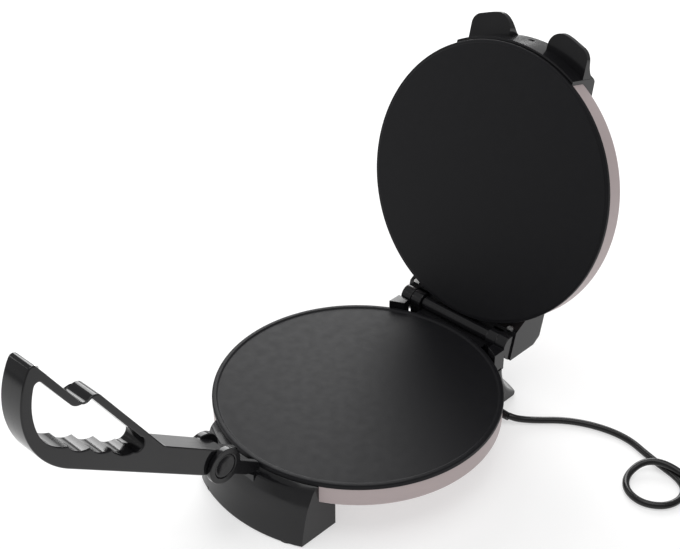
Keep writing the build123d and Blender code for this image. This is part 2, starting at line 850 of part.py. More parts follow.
def make_clamp(plate_z, down, angle):
    """Omega strap that holds the heating tube against the plate."""
    inner = heater_tube_radius + clamp_gap
    outer = inner + clamp_sheet
    middle = heater_tube_radius
    outline = make_face(
        Polyline((-clamp_reach, 0), (-clamp_reach, clamp_sheet), (-outer, clamp_sheet), (-outer, middle))
        + ThreePointArc((-outer, middle), (0, middle + outer), (outer, middle))
        + Polyline((outer, middle), (outer, clamp_sheet), (clamp_reach, clamp_sheet), (clamp_reach, 0))
        + Polyline((clamp_reach, 0), (inner, 0), (inner, middle))
        + ThreePointArc((inner, middle), (0, middle + inner), (-inner, middle))
        + Polyline((-inner, middle), (-inner, 0), (-clamp_reach, 0))
    )
    strap = extrude(outline, clamp_width / 2, both=True)
    frame = Plane(
        origin=(
            heater_ring_radius * cos(radians(angle)),
            heater_ring_radius * sin(radians(angle)),
            plate_z,
        ),
        x_dir=(cos(radians(angle)), sin(radians(angle)), 0),
        z_dir=(-sin(radians(angle)) * down, cos(radians(angle)) * down, 0),
    )
    return frame * strap


def standoffs(low_z, high_z):
    """Three posts that hold a plate to its cover."""
    return [
        rod_z(standoff_radius, *polar(standoff_ring_radius, angle), low_z, high_z)
        for angle in (60, 180, 300)
    ]


def make_terminal_block():
    """Three-way terminal block on the cover's floor, near the cord."""
    x, y = terminal_place
    low = sheet - lower_cover_depth
    body = block(x - 15, x + 15, y - 8, y + 8, low, low + 11)
    for step in (-10, 0, 10):
        body = body - rod_z(2.2, x + step, y, low + 4, low + 12)
    return body


def make_thermostat(z):
    """Disc thermostat under the plate, with two blade terminals."""
    body = rod_z(thermostat_radius, 0, 0, z - thermostat_height, z)
    flange = Pos(0, 0, z - 1.0) * Box(34, 12, 2.0)
    blades = both_sides(block(2.6, 3.4, -3, 3, z - thermostat_height - 7, z - thermostat_height + 1))
    return body + flange + blades


# ---- cord ----
def corner_radii(points):
    """The largest arc that each corner's two runs allow."""
    radii = []
    for before, here, after in zip(points, points[1:], points[2:]):
        into = Vector(*here) - Vector(*before)
        out = Vector(*after) - Vector(*here)
        turn = radians(into.get_angle(out))
        radii.append(0.45 * min(into.length, out.length) / tan(turn / 2))
    return radii


def make_tube(points):
    """A round cord along straight runs joined by tangent arcs."""
    radii = corner_radii(points)
    print("cord radii", [round(radius) for radius in radii])
    path = FilletPolyline(*points, radius=radii)
    start = Plane(origin=path @ 0, z_dir=path % 0)
    tube = sweep(start * Circle(cord_radius), path)
    expected = pi * cord_radius**2 * path.length
    print("cord length", round(path.length), "volume share", round(tube.volume / expected, 4))
    return tube


def make_coil():
    """Outer shape of the coiled turns."""
    low = table_z
    ring = Cylinder(coil_radius + coil_half_width, coil_height)
    ring = ring - Cylinder(coil_radius - coil_half_width, coil_height)
    ring = Pos(*coil_centre, low + coil_height / 2) * ring
    return fillet(ring.edges().filter_by(GeomType.CIRCLE), 2.5)


def make_plug(x_from, y, z):
    """Moulded three-pin plug, lying on its side, with its pins."""
    body = block(x_from, x_from + 34, y - 13, y + 13, table_z, table_z + 22)
    body = fillet(body.edges().filter_by(Axis.X), 5.0)
    body = fillet(body.faces().sort_by(Axis.X)[0].edges(), 4.0)
    sleeve = Pos(x_from - 8, y, z) * Rot(0, 90, 0) * Cone(cord_radius + 1.0, cord_radius + 2.4, 18)
    pins = []
    for side in (-1, 1):
        pins.append(block(x_from + 34, x_from + 51, y + side * 6.35 - 0.75, y + side * 6.35 + 0.75, z - 5.2, z + 1.1))
    pins.append(rod_x(2.4, x_from + 34, x_from + 54, y, z + 7.0))
    return body + sleeve, pins


# ---- build ----
def build():
    os.makedirs("parts", exist_ok=True)

    lower_body = lower_cover_body()
    upper_body = upper_cover_body()
    lower_cover = shelled(lower_body, lower_body.faces().sort_by(Axis.Z)[-1])
    upper_cover = shelled(upper_body, upper_body.faces().sort_by(Axis.Z)[0])

    # base
    write("lower_plate", make_lower_plate())
    cover_holes = []
    for x, y in foot_screw_places:
        cover_holes.append(rod_z(screw_radius, x, y, -lower_cover_depth - 2, -20))
    holed = lower_cover
    for hole in cover_holes:
        holed = holed - hole
    write("lower_cover", holed)
    write("front_foot", make_front_foot(lower_body))
    write("rear_foot", make_rear_foot(lower_body))
    pads = [
        rod_z(pad_radius, side * x, end * y, table_z, table_z + pad_thickness)
        for (x, y), end in ((front_pad_place, -1), (rear_pad_place, 1))
        for side in (-1, 1)
    ]
    write("foot_pads", *pads)
    head_z = flange_z - flange_thickness - screw_head_height
    write("base_screws", *[screw(x, y, head_z, head_z + 11) for x, y in foot_screw_places])
    heater_z = -plate_thickness - heater_tube_radius
    write("lower_heater", make_heater(heater_z, 90))
    write("lower_heater_clamps", *[make_clamp(-plate_thickness, 1, angle) for angle in (0, 180, 270)])
    write("lower_standoffs", *standoffs(-lower_cover_depth + sheet, -plate_thickness))
    write("thermostat", make_thermostat(-plate_thickness))
    fuse = Pos(0, 40, -plate_thickness - fuse_radius) * Rot(0, 90, 0) * Cylinder(fuse_radius, fuse_length)
    write("thermal_fuse", fuse)

    write("terminal_block", make_terminal_block())

    # handle
    outer_x = arm_half_width + arm_gap + yoke_plate
    write("pivot_pin", rod_x(pivot_pin_radius, -outer_x + cap_recess, outer_x - cap_recess, pivot_y, pivot_z))
    caps = both_sides(rod_x(cap_radius, outer_x - cap_recess, outer_x - cap_recess + cap_depth, pivot_y, pivot_z))
    write("pivot_caps", caps)
    right_half, left_half = make_handle()
    write("handle_right_half", right_half)
    write("handle_left_half", left_half)
    write("handle_screws", *make_handle_screws())

    # lid
    upper_plate = make_upper_plate()
    write("upper_plate", opened(upper_plate))
    write("upper_cover", opened(upper_cover))
    write("lid_front_bracket", opened(make_lid_front_bracket(upper_body)))
    write("lid_rear_bracket", opened(make_lid_rear_bracket(upper_body, upper_plate)))
    write("lamp_lenses", *[opened(lens) for lens in make_lenses()])
    write("lid_screws", *[opened(screw(x, y, lid_screw_z, lid_screw_z + 9)) for x, y in lid_screw_places])
    upper_back_z = upper_face_z + plate_thickness
    write("upper_heater", opened(make_heater(upper_back_z + heater_tube_radius, 90)))
    upper_clamps = [make_clamp(upper_back_z, -1, angle) for angle in (0, 180, 270)]
    write("upper_heater_clamps", *[opened(clamp) for clamp in upper_clamps])
    write("upper_standoffs", *[opened(post) for post in standoffs(upper_back_z, upper_cover_height - sheet)])
    pin_x = rear_foot_half_width - 2
    write("hinge_pin", rod_x(hinge_pin_radius, -pin_x, pin_x, hinge_y, hinge_z))

    # cord
    y, z = gland_place
    face_x = rear_foot_half_width
    gland = rod_x(gland_radius, face_x, face_x + 3, y, z) + rod_x(gland_radius - 1.4, face_x - 8, face_x, y, z)
    write("cord_gland", gland - rod_x(cord_radius, face_x - 9, face_x + 4, y, z))
    lifted_z = cord_rest_z + cord_crossing_lift
    route = [
        (face_x - 8, y, z),
        (face_x + 20, y, z),
        (face_x + 32, y + 11, cord_rest_z),
        (132, 157, cord_rest_z),
        (178, 171, cord_rest_z),
        (216, 160, cord_rest_z),
        (254, 153, cord_rest_z),
        (265, 135, cord_rest_z),
        (260, 115, cord_rest_z),
        (242, 104, cord_rest_z),
        (222, 109, cord_rest_z),
        (211, 127, cord_rest_z),
        (216, 148, lifted_z),
        (236, 158, lifted_z),
        (270, 155.5, cord_rest_z),
        (coil_centre[0] - 20, coil_centre[1] + coil_radius, cord_rest_z),
    ]
    write("cord_run", make_tube(route))
    write("cord_coil", make_coil())
    plug_x = coil_centre[0] + 62
    tail = [
        (coil_centre[0] + 24, coil_centre[1] + coil_radius - 1, cord_rest_z + 2.0),
        (coil_centre[0] + 40, coil_centre[1] + coil_radius + 2, cord_rest_z + 2.6),
        (plug_x - 6, coil_centre[1] + coil_radius + 3, table_z + 11),
    ]
    write("plug_lead", make_tube(tail))
    plug, pins = make_plug(plug_x + 12, coil_centre[1] + coil_radius + 3, table_z + 11)
    write("plug_body", plug)
    write("plug_pins", *pins)


build()
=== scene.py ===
import math

import bpy
from mathutils import Matrix, Vector


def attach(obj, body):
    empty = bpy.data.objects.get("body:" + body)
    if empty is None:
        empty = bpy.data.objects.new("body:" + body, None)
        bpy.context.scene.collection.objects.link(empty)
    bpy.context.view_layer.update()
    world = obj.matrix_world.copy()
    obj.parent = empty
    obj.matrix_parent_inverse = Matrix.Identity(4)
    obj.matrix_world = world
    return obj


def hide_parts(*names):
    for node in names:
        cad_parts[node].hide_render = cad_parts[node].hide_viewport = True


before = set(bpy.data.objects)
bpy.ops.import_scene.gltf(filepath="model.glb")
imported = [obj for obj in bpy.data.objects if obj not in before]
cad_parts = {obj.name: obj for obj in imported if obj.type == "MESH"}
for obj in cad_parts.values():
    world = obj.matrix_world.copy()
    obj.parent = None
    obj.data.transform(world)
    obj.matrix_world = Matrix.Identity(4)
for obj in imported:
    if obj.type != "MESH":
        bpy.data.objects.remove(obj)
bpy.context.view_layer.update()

mm = 0.001
mergeGap = 0.00001
cutGap = 0.000001
edgeShare = 0.98  # an arc at a corner takes no more of an edge than this
print("frame loaded")


# ---------- small tools ----------
def deselectAll():
    bpy.ops.object.select_all(action="DESELECT")


def makeActive(piece):
    deselectAll()
    piece.select_set(True)
    bpy.context.view_layer.objects.active = piece


def editMode(kind="VERT"):
    bpy.context.tool_settings.mesh_select_mode = (kind == "VERT", kind == "EDGE", kind == "FACE")
    bpy.ops.object.mode_set(mode="EDIT")


def objectMode():
    bpy.ops.object.mode_set(mode="OBJECT")


def pick(piece, kind, test):
    # selects verts, edges or faces by a test on their place, and stays in edit mode
    makeActive(piece)
    editMode(kind)
    bpy.ops.mesh.select_all(action="DESELECT")
    objectMode()
    mesh = piece.data
    if kind == "VERT":
        for vert in mesh.vertices:
            vert.select = test(vert.co)
    elif kind == "EDGE":
        for edge in mesh.edges:
            a, b = (mesh.vertices[i].co for i in edge.vertices)
            edge.select = test(a, b)
    else:
        for face in mesh.polygons:
            face.select = test(face.center, face.normal)
    editMode(kind)


def applyPlace(piece):
    makeActive(piece)
    bpy.ops.object.transform_apply(location=True, rotation=True, scale=True)


def applyModifier(piece, kind, **settings):
    makeActive(piece)
    modifier = piece.modifiers.new(kind.title(), kind)
    for key, value in settings.items():
        setattr(modifier, key, value)
    bpy.ops.object.modifier_apply(modifier=modifier.name)


def tidyNormals(piece):
    makeActive(piece)
    editMode("FACE")
    bpy.ops.mesh.select_all(action="SELECT")
    bpy.ops.mesh.remove_doubles(threshold=mergeGap)
    bpy.ops.mesh.normals_make_consistent(inside=False)
    objectMode()


def smoothShade(piece, sharpAngle=38):
    makeActive(piece)
    bpy.ops.object.shade_smooth_by_angle(angle=math.radians(sharpAngle))
    applyModifier(piece, "WEIGHTED_NORMAL", keep_sharp=True, weight=60)


def soften(piece, width, segments=3, angle=35):
    applyModifier(
        piece, "BEVEL", width=width * mm, segments=segments, limit_method="ANGLE",
        angle_limit=math.radians(angle), use_clamp_overlap=True, miter_outer="MITER_ARC",
    )


def joinPieces(name, pieces):
    deselectAll()
    for piece in pieces:
        piece.select_set(True)
    bpy.context.view_layer.objects.active = pieces[0]
    bpy.ops.object.join()
    pieces[0].name = name
    return pieces[0]


def cutWith(piece, cutter, operation="DIFFERENCE"):
    applyModifier(piece, "BOOLEAN", object=cutter, operation=operation, solver="EXACT")
    bpy.data.objects.remove(cutter)


def roundOff(corners, steps=7, closed=True):
    # corners are (a, b) or (a, b, radius); a radius turns the corner into an arc
    path = []
    count = len(corners)
    for i, corner in enumerate(corners):
        here = Vector(corner[:2])
        if len(corner) < 3 or (not closed and i in (0, count - 1)):
            path.append(tuple(here))
            continue
        before = Vector(corners[i - 1][:2]) - here
        after = Vector(corners[(i + 1) % count][:2]) - here
        half = before.angle(after) / 2
        back = min(corner[2] / math.tan(half), before.length * edgeShare, after.length * edgeShare)
        radius = back * math.tan(half)
        middle = here + (before.normalized() + after.normalized()).normalized() * (radius / math.sin(half))
        start = here + before.normalized() * back - middle
        turn = math.pi - 2 * half
        if start.cross(here + after.normalized() * back - middle) < 0:
            turn = -turn
        for step in range(steps + 1):
            angle = turn * step / steps
            arm = Matrix.Rotation(angle, 2) @ start
            path.append(tuple(middle + arm))
    return path


def arcPoints(middle, radius, startDeg, endDeg, steps):
    path = []
    for step in range(steps + 1):
        angle = math.radians(startDeg + (endDeg - startDeg) * step / steps)
        path.append((middle[0] + radius * math.cos(angle), middle[1] + radius * math.sin(angle)))
    return path


def throughThree(a, b, c, steps):
    # points on the arc through three places, without its last point
    ax, ay = a
    bx, by = b
    cx, cy = c
    aa = ax * ax + ay * ay
    bb = bx * bx + by * by
    cc = cx * cx + cy * cy
    d = 2 * (ax * (by - cy) + bx * (cy - ay) + cx * (ay - by))
    ux = (aa * (by - cy) + bb * (cy - ay) + cc * (ay - by)) / d
    uy = (aa * (cx - bx) + bb * (ax - cx) + cc * (bx - ax)) / d
    radius = math.hypot(ax - ux, ay - uy)
    first = math.atan2(ay - uy, ax - ux)
    mid = math.atan2(by - uy, bx - ux)
    last = math.atan2(cy - uy, cx - ux)
    full = 2 * math.pi
    sweep = (last - first) % full
    if (mid - first) % full > sweep:
        sweep -= full
    path = []
    for step in range(steps):
        angle = first + sweep * step / steps
        path.append((ux + radius * math.cos(angle), uy + radius * math.sin(angle)))
    return path


def drawOutline(name, points):
    # a face drawn by extruding one vertex from point to point, in mm
    deselectAll()
    spots = [Vector(point) * mm for point in points]
    bpy.ops.mesh.primitive_plane_add(size=mm, location=spots[0])
    piece = bpy.context.object
    piece.name = name
    applyPlace(piece)
    editMode("VERT")
    bpy.ops.mesh.select_all(action="SELECT")
    bpy.ops.mesh.merge(type="CENTER")
    for before, here in zip(spots, spots[1:]):
        bpy.ops.mesh.extrude_vertices_move(TRANSFORM_OT_translate={"value": here - before})
    bpy.ops.mesh.select_all(action="SELECT")
    bpy.ops.mesh.edge_face_add()
    objectMode()
    return piece


def pullOut(piece, move):
    # extrudes a flat outline into a solid, by a move in metres
    editMode("FACE")
    bpy.ops.mesh.select_all(action="SELECT")
    bpy.ops.mesh.extrude_region_move(TRANSFORM_OT_translate={"value": move})
    objectMode()
    tidyNormals(piece)


def sideSlab(name, outline, xFrom, xTo):
    # a solid whose (y, z) outline is pulled along X
    piece = drawOutline(name, [(xFrom, y, z) for y, z in outline])
    pullOut(piece, ((xTo - xFrom) * mm, 0, 0))
    return piece


def sweptWedge(name, section, startDeg, *spans):
    # a solid whose (r, z) section is spun about Z; 0 degrees is the front, and 90 is +X
    first = math.radians(startDeg)
    piece = drawOutline(name, [(r * math.sin(first), -r * math.cos(first), z) for r, z in section])
    editMode("FACE")
    bpy.ops.mesh.select_all(action="SELECT")
    for endDeg, steps in spans:
        turn = math.radians(endDeg - startDeg)
        bpy.ops.mesh.spin(steps=steps, angle=turn, center=(0, 0, 0), axis=(0, 0, -1), dupli=False)
        startDeg = endDeg
    objectMode()
    tidyNormals(piece)
    return piece


def trim(piece, place, normal):
    # cuts the solid with a plane, drops what lies on the normal's side and closes the cut
    makeActive(piece)
    editMode("FACE")
    bpy.ops.mesh.select_all(action="SELECT")
    bpy.ops.mesh.bisect(
        plane_co=Vector(place) * mm, plane_no=normal, use_fill=True, clear_outer=True, threshold=cutGap
    )
    objectMode()


def boreOut(piece, radius, depth, middle, turnDeg, vertices):
    # sinks a round hole about its middle, in mm
    deselectAll()
    bpy.ops.mesh.primitive_cylinder_add(
        vertices=vertices, radius=radius * mm, depth=depth * mm, location=Vector(middle) * mm,
        rotation=[math.radians(angle) for angle in turnDeg],
    )
    cutter = bpy.context.object
    applyPlace(cutter)
    cutWith(piece, cutter)


def lathe(name, rings, segments=256, closeStart=True):
    # a turned shape: a circle that is extruded and scaled from ring to ring, (r, z) in mm
    deselectAll()
    radius, height = rings[0]
    fill = "TRIFAN" if closeStart else "NOTHING"
    bpy.ops.mesh.primitive_circle_add(
        vertices=segments, radius=radius * mm, fill_type=fill, location=(0, 0, height * mm)
    )
    piece = bpy.context.object
    piece.name = name
    applyPlace(piece)
    editMode("EDGE")
    bpy.ops.mesh.select_all(action="SELECT")
    if closeStart:
        bpy.ops.mesh.region_to_loop()
    for nextRadius, nextHeight in rings[1:]:
        rise = (0, 0, (nextHeight - height) * mm)
        bpy.ops.mesh.extrude_edges_move(TRANSFORM_OT_translate={"value": rise})
        share = nextRadius / radius
        bpy.ops.transform.resize(value=(share, share, 1), center_override=(0, 0, 0))
        radius, height = nextRadius, nextHeight
    bpy.ops.mesh.extrude_edges_move(TRANSFORM_OT_translate={"value": (0, 0, 0)})
    bpy.ops.mesh.merge(type="CENTER")
    objectMode()
    tidyNormals(piece)
    return piece


def layAlongX(piece, place):
    # turns a lathed piece's axis from Z to X and sets it at its place, in mm
    piece.rotation_euler = (0, math.radians(90), 0)
    piece.location = Vector(place) * mm
    applyPlace(piece)


def mirrorCopy(piece, name):
    # a second mesh on the other side of X = 0
    makeActive(piece)
    bpy.ops.object.duplicate()
    twin = bpy.context.object
    twin.name = name
    twin.scale = (-1, 1, 1)
    applyPlace(twin)
    editMode("FACE")
    bpy.ops.mesh.select_all(action="SELECT")
    bpy.ops.mesh.flip_normals()
    objectMode()
    tidyNormals(twin)
    return twin


def seat(piece, body, material, nodes):
    piece.data.materials.clear()
    piece.data.materials.append(material)
    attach(piece, body)
    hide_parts(*nodes)


# ---------- shared places, in mm ----------
hinge = {"y": 140.0, "z": 6.0, "openDeg": 104.0}
pivot = {"y": -174.5, "z": 28.0, "riseDeg": 35.0}
table = {"z": -58.6}


def openLid(piece):
    # the lid's pieces are made shut and then swung open about the hinge
    spot = Vector((0, hinge["y"], hinge["z"])) * mm
    swing = Matrix.Rotation(-math.radians(hinge["openDeg"]), 4, "X")
    piece.matrix_world = Matrix.Translation(spot) @ swing @ Matrix.Translation(-spot)
    applyPlace(piece)


# ---------- camera ----------
cameraSet = {
    "place": (688.1, -733.9, 790.5),
    "azimuthDeg": 44.04,
    "elevationDeg": 33.52,
    "rollDeg": -0.337,
    "lens": 74.46,
    "sensorWidth": 36.0,
    "clip": (0.05, 30),
}


def makeCamera():
    bpy.ops.object.camera_add(location=Vector(cameraSet["place"]) * mm)
    camera = bpy.context.object
    camera.name = "mainCamera"
    a = math.radians(cameraSet["azimuthDeg"])
    e = math.radians(cameraSet["elevationDeg"])
    ahead = -Vector((math.sin(a) * math.cos(e), -math.cos(a) * math.cos(e), math.sin(e)))
    camera.rotation_mode = "QUATERNION"
    roll = Matrix.Rotation(math.radians(cameraSet["rollDeg"]), 3, "Z")
    turn = ahead.to_track_quat("-Z", "Y").to_matrix() @ roll
    camera.rotation_quaternion = turn.to_quaternion()
    camera.data.lens = cameraSet["lens"]
    camera.data.sensor_width = cameraSet["sensorWidth"]
    camera.data.clip_start, camera.data.clip_end = cameraSet["clip"]
    bpy.context.scene.camera = camera


makeCamera()
print("camera set")


# ---------- finishes ----------
def newMaterial(name):
    material = bpy.data.materials.new(name)
    material.use_nodes = True
    nodes = material.node_tree.nodes
    nodes.clear()
    output = nodes.new("ShaderNodeOutputMaterial")
    shader = nodes.new("ShaderNodeBsdfPrincipled")
    output.location, shader.location = (500, 0), (200, 0)
    material.node_tree.links.new(shader.outputs["BSDF"], output.inputs["Surface"])
    return material, nodes, material.node_tree.links, shader


def objectNoise(nodes, links, scale, detail):
    place = nodes.new("ShaderNodeTexCoord")
    noise = nodes.new("ShaderNodeTexNoise")
    noise.inputs["Scale"].default_value = scale
    noise.inputs["Detail"].default_value = detail
    links.new(place.outputs["Object"], noise.inputs["Vector"])
    return noise


def mottle(nodes, links, shader, noise, dark, light):
    mix = nodes.new("ShaderNodeMix")
    mix.data_type = "RGBA"
    mix.inputs["A"].default_value = (*dark, 1)
    mix.inputs["B"].default_value = (*light, 1)
    links.new(noise.outputs["Fac"], mix.inputs["Factor"])
    links.new(mix.outputs["Result"], shader.inputs["Base Color"])


noiseSet = {"broadDetail": 3, "fineDetail": 2, "range": (0.3, 0.7), "bumpStrength": 0.5}


def varyRoughness(nodes, links, shader, noise, low, high):
    spread = nodes.new("ShaderNodeMapRange")
    spread.inputs["From Min"].default_value, spread.inputs["From Max"].default_value = noiseSet["range"]
    spread.inputs["To Min"].default_value = low
    spread.inputs["To Max"].default_value = high
    links.new(noise.outputs["Fac"], spread.inputs["Value"])
    links.new(spread.outputs["Result"], shader.inputs["Roughness"])


def grainBump(nodes, links, shader, noise, depth):
    bump = nodes.new("ShaderNodeBump")
    bump.inputs["Strength"].default_value = noiseSet["bumpStrength"]
    bump.inputs["Distance"].default_value = depth * mm
    links.new(noise.outputs["Fac"], bump.inputs["Height"])
    links.new(bump.outputs["Normal"], shader.inputs["Normal"])


finishes = {
    # dark and light colour, metallic, specular, roughness low and high,
    # then the grain's size and depth and the mottle's size, in mm
    "mouldedBlack": (
        (0.0055, 0.0055, 0.0062), (0.0085, 0.0083, 0.0095), 0.0, 0.36, 0.13, 0.20, 0.6, 0.004, 22,
    ),
    "handleBlack": (
        (0.0060, 0.0060, 0.0068), (0.0090, 0.0088, 0.0100), 0.0, 0.38, 0.11, 0.17, 0.5, 0.004, 18,
    ),
    "coverTaupe": (
        (0.455, 0.385, 0.385), (0.490, 0.415, 0.413), 0.15, 0.32, 0.42, 0.50, 0.35, 0.003, 30,
    ),
    "nonStick": (
        (0.0060, 0.0060, 0.0072), (0.0085, 0.0085, 0.0098), 0.0, 0.13, 0.46, 0.52, 0.45, 0.010, 9,
    ),
    "turnedSteel": (
        (0.50, 0.50, 0.50), (0.64, 0.64, 0.63), 1.0, 0.50, 0.22, 0.36, 0.3, 0.003, 6,
    ),
    "dullSteel": (
        (0.25, 0.24, 0.23), (0.42, 0.41, 0.39), 1.0, 0.50, 0.35, 0.55, 0.4, 0.006, 5,
    ),
    "cordSheath": (
        (0.0045, 0.0045, 0.0048), (0.0075, 0.0075, 0.0080), 0.0, 0.34, 0.20, 0.30, 0.5, 0.008, 9,
    ),
    "padRubber": (
        (0.028, 0.028, 0.028), (0.050, 0.049, 0.047), 0.0, 0.40, 0.62, 0.80, 0.4, 0.020, 6,
    ),
    "ceramicWhite": (
        (0.70, 0.68, 0.62), (0.80, 0.78, 0.72), 0.0, 0.50, 0.40, 0.55, 0.5, 0.006, 8,
    ),
    "pinBrass": (
        (0.60, 0.44, 0.19), (0.74, 0.58, 0.28), 1.0, 0.50, 0.20, 0.34, 0.4, 0.004, 5,
    ),
}
made = {}


def makeFinish(name):
    dark, light, metallic, specular, low, high, grain, depth, patch = finishes[name]
    material, nodes, links, shader = newMaterial(name)
    shader.inputs["Metallic"].default_value = metallic
    shader.inputs["Specular IOR Level"].default_value = specular
    broad = objectNoise(nodes, links, 1000 / patch, noiseSet["broadDetail"])
    fine = objectNoise(nodes, links, 1000 / grain, noiseSet["fineDetail"])
    mottle(nodes, links, shader, broad, dark, light)
    varyRoughness(nodes, links, shader, broad, low, high)
    grainBump(nodes, links, shader, fine, depth)
    return material


for finishName in finishes:
    made[finishName] = makeFinish(finishName)


lampSet = {
    "dark": (0.35, 0.010, 0.006),
    "light": (0.55, 0.030, 0.020),
    "roughness": (0.12, 0.22),
    "noiseScale": 400,
    "coat": 0.4,
}


def makeLampLens():
    s = lampSet
    material, nodes, links, shader = newMaterial("lampRed")
    noise = objectNoise(nodes, links, s["noiseScale"], noiseSet["fineDetail"])
    mottle(nodes, links, shader, noise, s["dark"], s["light"])
    varyRoughness(nodes, links, shader, noise, *s["roughness"])
    shader.inputs["Coat Weight"].default_value = s["coat"]
    return material


made["lampRed"] = makeLampLens()
print("finishes made:", len(made))


# ---------- cord ----------
cordSet = {
    "diameter": 6.4,
    "restZ": table["z"] + 3.2,
    "exit": (66.0, 113.0, -50.2),
    "coilCentre": (322.0, 121.0),
    "coilTurns": [(36.2, 0.0), (29.7, 0.0), (33.0, 5.7)],  # radius and lift of each turn
    "pointsPerTurn": 16,
    "plugX": 396.0,
}


def cordRoute():
    z = cordSet["restZ"]
    x, y, exitZ = cordSet["exit"]
    lifted = z + 6.8
    route = [
        (x, y, exitZ), (x + 20, y, exitZ), (x + 32, y + 11, z), (132, 157, z), (178, 171, z), (216, 160, z),
        (254, 153, z), (265, 135, z), (260, 115, z), (242, 104, z), (222, 109, z), (211, 127, z),
        (216, 148, lifted), (236, 158, lifted), (270, 155.5, z),
    ]
    centreX, centreY = cordSet["coilCentre"]
    count = cordSet["pointsPerTurn"]
    turns = cordSet["coilTurns"]
    route.append((centreX - 20, centreY + turns[0][0] + 0.4, z))
    for turn, (radius, lift) in enumerate(turns):
        nextRadius, nextLift = turns[turn + 1] if turn + 1 < len(turns) else (radius, lift)
        for step in range(count):
            blend = max(0.0, (step - (count - 4)) / 4)
            r = (radius + (nextRadius - radius) * blend) * 1.012
            angle = math.radians(90 - 360 * step / count)
            height = z + lift + (nextLift - lift) * blend
            route.append((centreX + r * math.cos(angle), centreY + r * math.sin(angle), height))
    topZ = z + turns[-1][1]
    route.append((centreX + 2, centreY + 33.4, topZ))
    route.append((centreX + 30, centreY + 35, topZ + 1.0))
    route.append((cordSet["plugX"] - 16, centreY + 36, table["z"] + 11))
    route.append((cordSet["plugX"] - 2, centreY + 36, table["z"] + 11))
    return route


def makeCord():
    points = [Vector(point) * mm for point in cordRoute()]
    deselectAll()
    curve = bpy.data.curves.new("cordLine", "CURVE")
    curve.dimensions = "3D"
    curve.bevel_depth = cordSet["diameter"] / 2 * mm
    curve.bevel_resolution = 6
    curve.use_fill_caps = True
    spline = curve.splines.new("NURBS")
    spline.points.add(len(points) - 1)
    for knot, point in zip(spline.points, points):
        knot.co = (*point, 1)
    spline.order_u = 3
    spline.use_endpoint_u = True
    spline.resolution_u = 10
    cord = bpy.data.objects.new("cord", curve)
    bpy.context.scene.collection.objects.link(cord)
    return cord


cord = makeCord()
print("cord laid")


# ---------- plates and covers ----------
lowerPlateSet = {
    "rings": [
        (60, 0), (126.0, 0), (126.8, 0.1), (127.5, 0.6), (128.2, 1.1), (128.9, 1.2), (130.7, 1.2),
        (131.5, 1.0), (131.9, 0.5), (132, -0.1), (132, -2.9), (131.7, -3.4), (131.2, -3.5),
        (130.0, -3.5), (129.0, -4.0), (60, -4.0),
    ],
}
upperPlateSet = {
    "rings": [
        (60, 1.6), (128.7, 1.6), (129.1, 1.7), (129.3, 2.0), (129.7, 2.15), (131.0, 2.15),
        (131.7, 2.35), (132, 2.8), (132, 5.8), (131.7, 6.2), (131.2, 6.3), (130.0, 6.3),
        (129.0, 5.6), (60, 5.6),
    ],
}
lowerCoverSet = {
    "corners": [(131.4, -3.5), (131.4, -21.2, 3.0), (102, -33.4, 3.0), (40, -33.4)],
    "sheet": 1.0,
}
upperCoverSet = {
    "corners": [(131.4, 6.3), (131.4, 22.8, 3.0), (120.5, 37.0, 3.0), (92, 43.4, 12.0), (40, 43.4)],
    "sheet": 1.0,
}


def makePlate(name, settings):
    plate = lathe(name, settings["rings"])
    smoothShade(plate, 60)
    return plate


def makeCover(name, settings):
    cover = lathe(name, roundOff(settings["corners"], 8, closed=False), closeStart=False)
    applyModifier(cover, "SOLIDIFY", thickness=settings["sheet"] * mm, offset=-1, use_even_offset=True)
    smoothShade(cover, 40)
    return cover


lowerPlate = makePlate("lowerPlate", lowerPlateSet)
upperPlate = makePlate("upperPlate", upperPlateSet)
lowerCover = makeCover("lowerCover", lowerCoverSet)
upperCover = makeCover("upperCover", upperCoverSet)
for piece in (upperPlate, upperCover):
    openLid(piece)
seat(lowerPlate, "base", made["nonStick"], ["lower_plate"])
seat(upperPlate, "lid", made["nonStick"], ["upper_plate"])
seat(lowerCover, "base", made["coverTaupe"], ["lower_cover"])
seat(upperCover, "lid", made["coverTaupe"], ["upper_cover"])
print("plates and covers made")


# ---------- what both feet share ----------
footSet = {
    "innerSpare": 12,  # a foot's section reaches this much past its inner cut
    "cornerShare": 0.64,  # a bevel's offset, as a share of the corner's radius
    "cornerSteps": 5,
}
skirtRadius = 131.5
coverSkirt = [
    (skirtRadius, -4.6), (skirtRadius, -19.0), (130.9, -20.6), (129.6, -21.9), (103, -33.0), (101.5, -33.5),
]


def footSection(settings, flank, skirt):
    # (r, z) section: the flank outside, the sole, and the cover's underside as its top
    inner = abs(settings["innerY"]) - footSet["innerSpare"]
    return flank + [(inner, settings["soleZ"]), (inner, coverSkirt[-1][1])] + skirt


def finishFoot(foot, settings, inward):
    # cuts the sides and the inner end, then rounds the upright edges of the flank
    trim(foot, (settings["halfWidth"], 0, 0), (1, 0, 0))
    trim(foot, (-settings["halfWidth"], 0, 0), (-1, 0, 0))
    trim(foot, (0, settings["innerY"], 0), (0, inward, 0))
    sideX = (settings["halfWidth"] - 0.05) * mm
    fromY = settings["cornerFrom"] * mm
    pick(foot, "EDGE", lambda a, b: min(abs(a.x), abs(b.x)) > sideX and a.x * b.x > 0
         and min(abs(a.y), abs(b.y)) > fromY and abs(a.z - b.z) > 0.02 * mm)
    offset = settings["cornerRadius"] * footSet["cornerShare"] * mm
    bpy.ops.mesh.bevel(offset=offset, segments=footSet["cornerSteps"], clamp_overlap=True)
    objectMode()
    soften(foot, settings["edge"])
    return foot


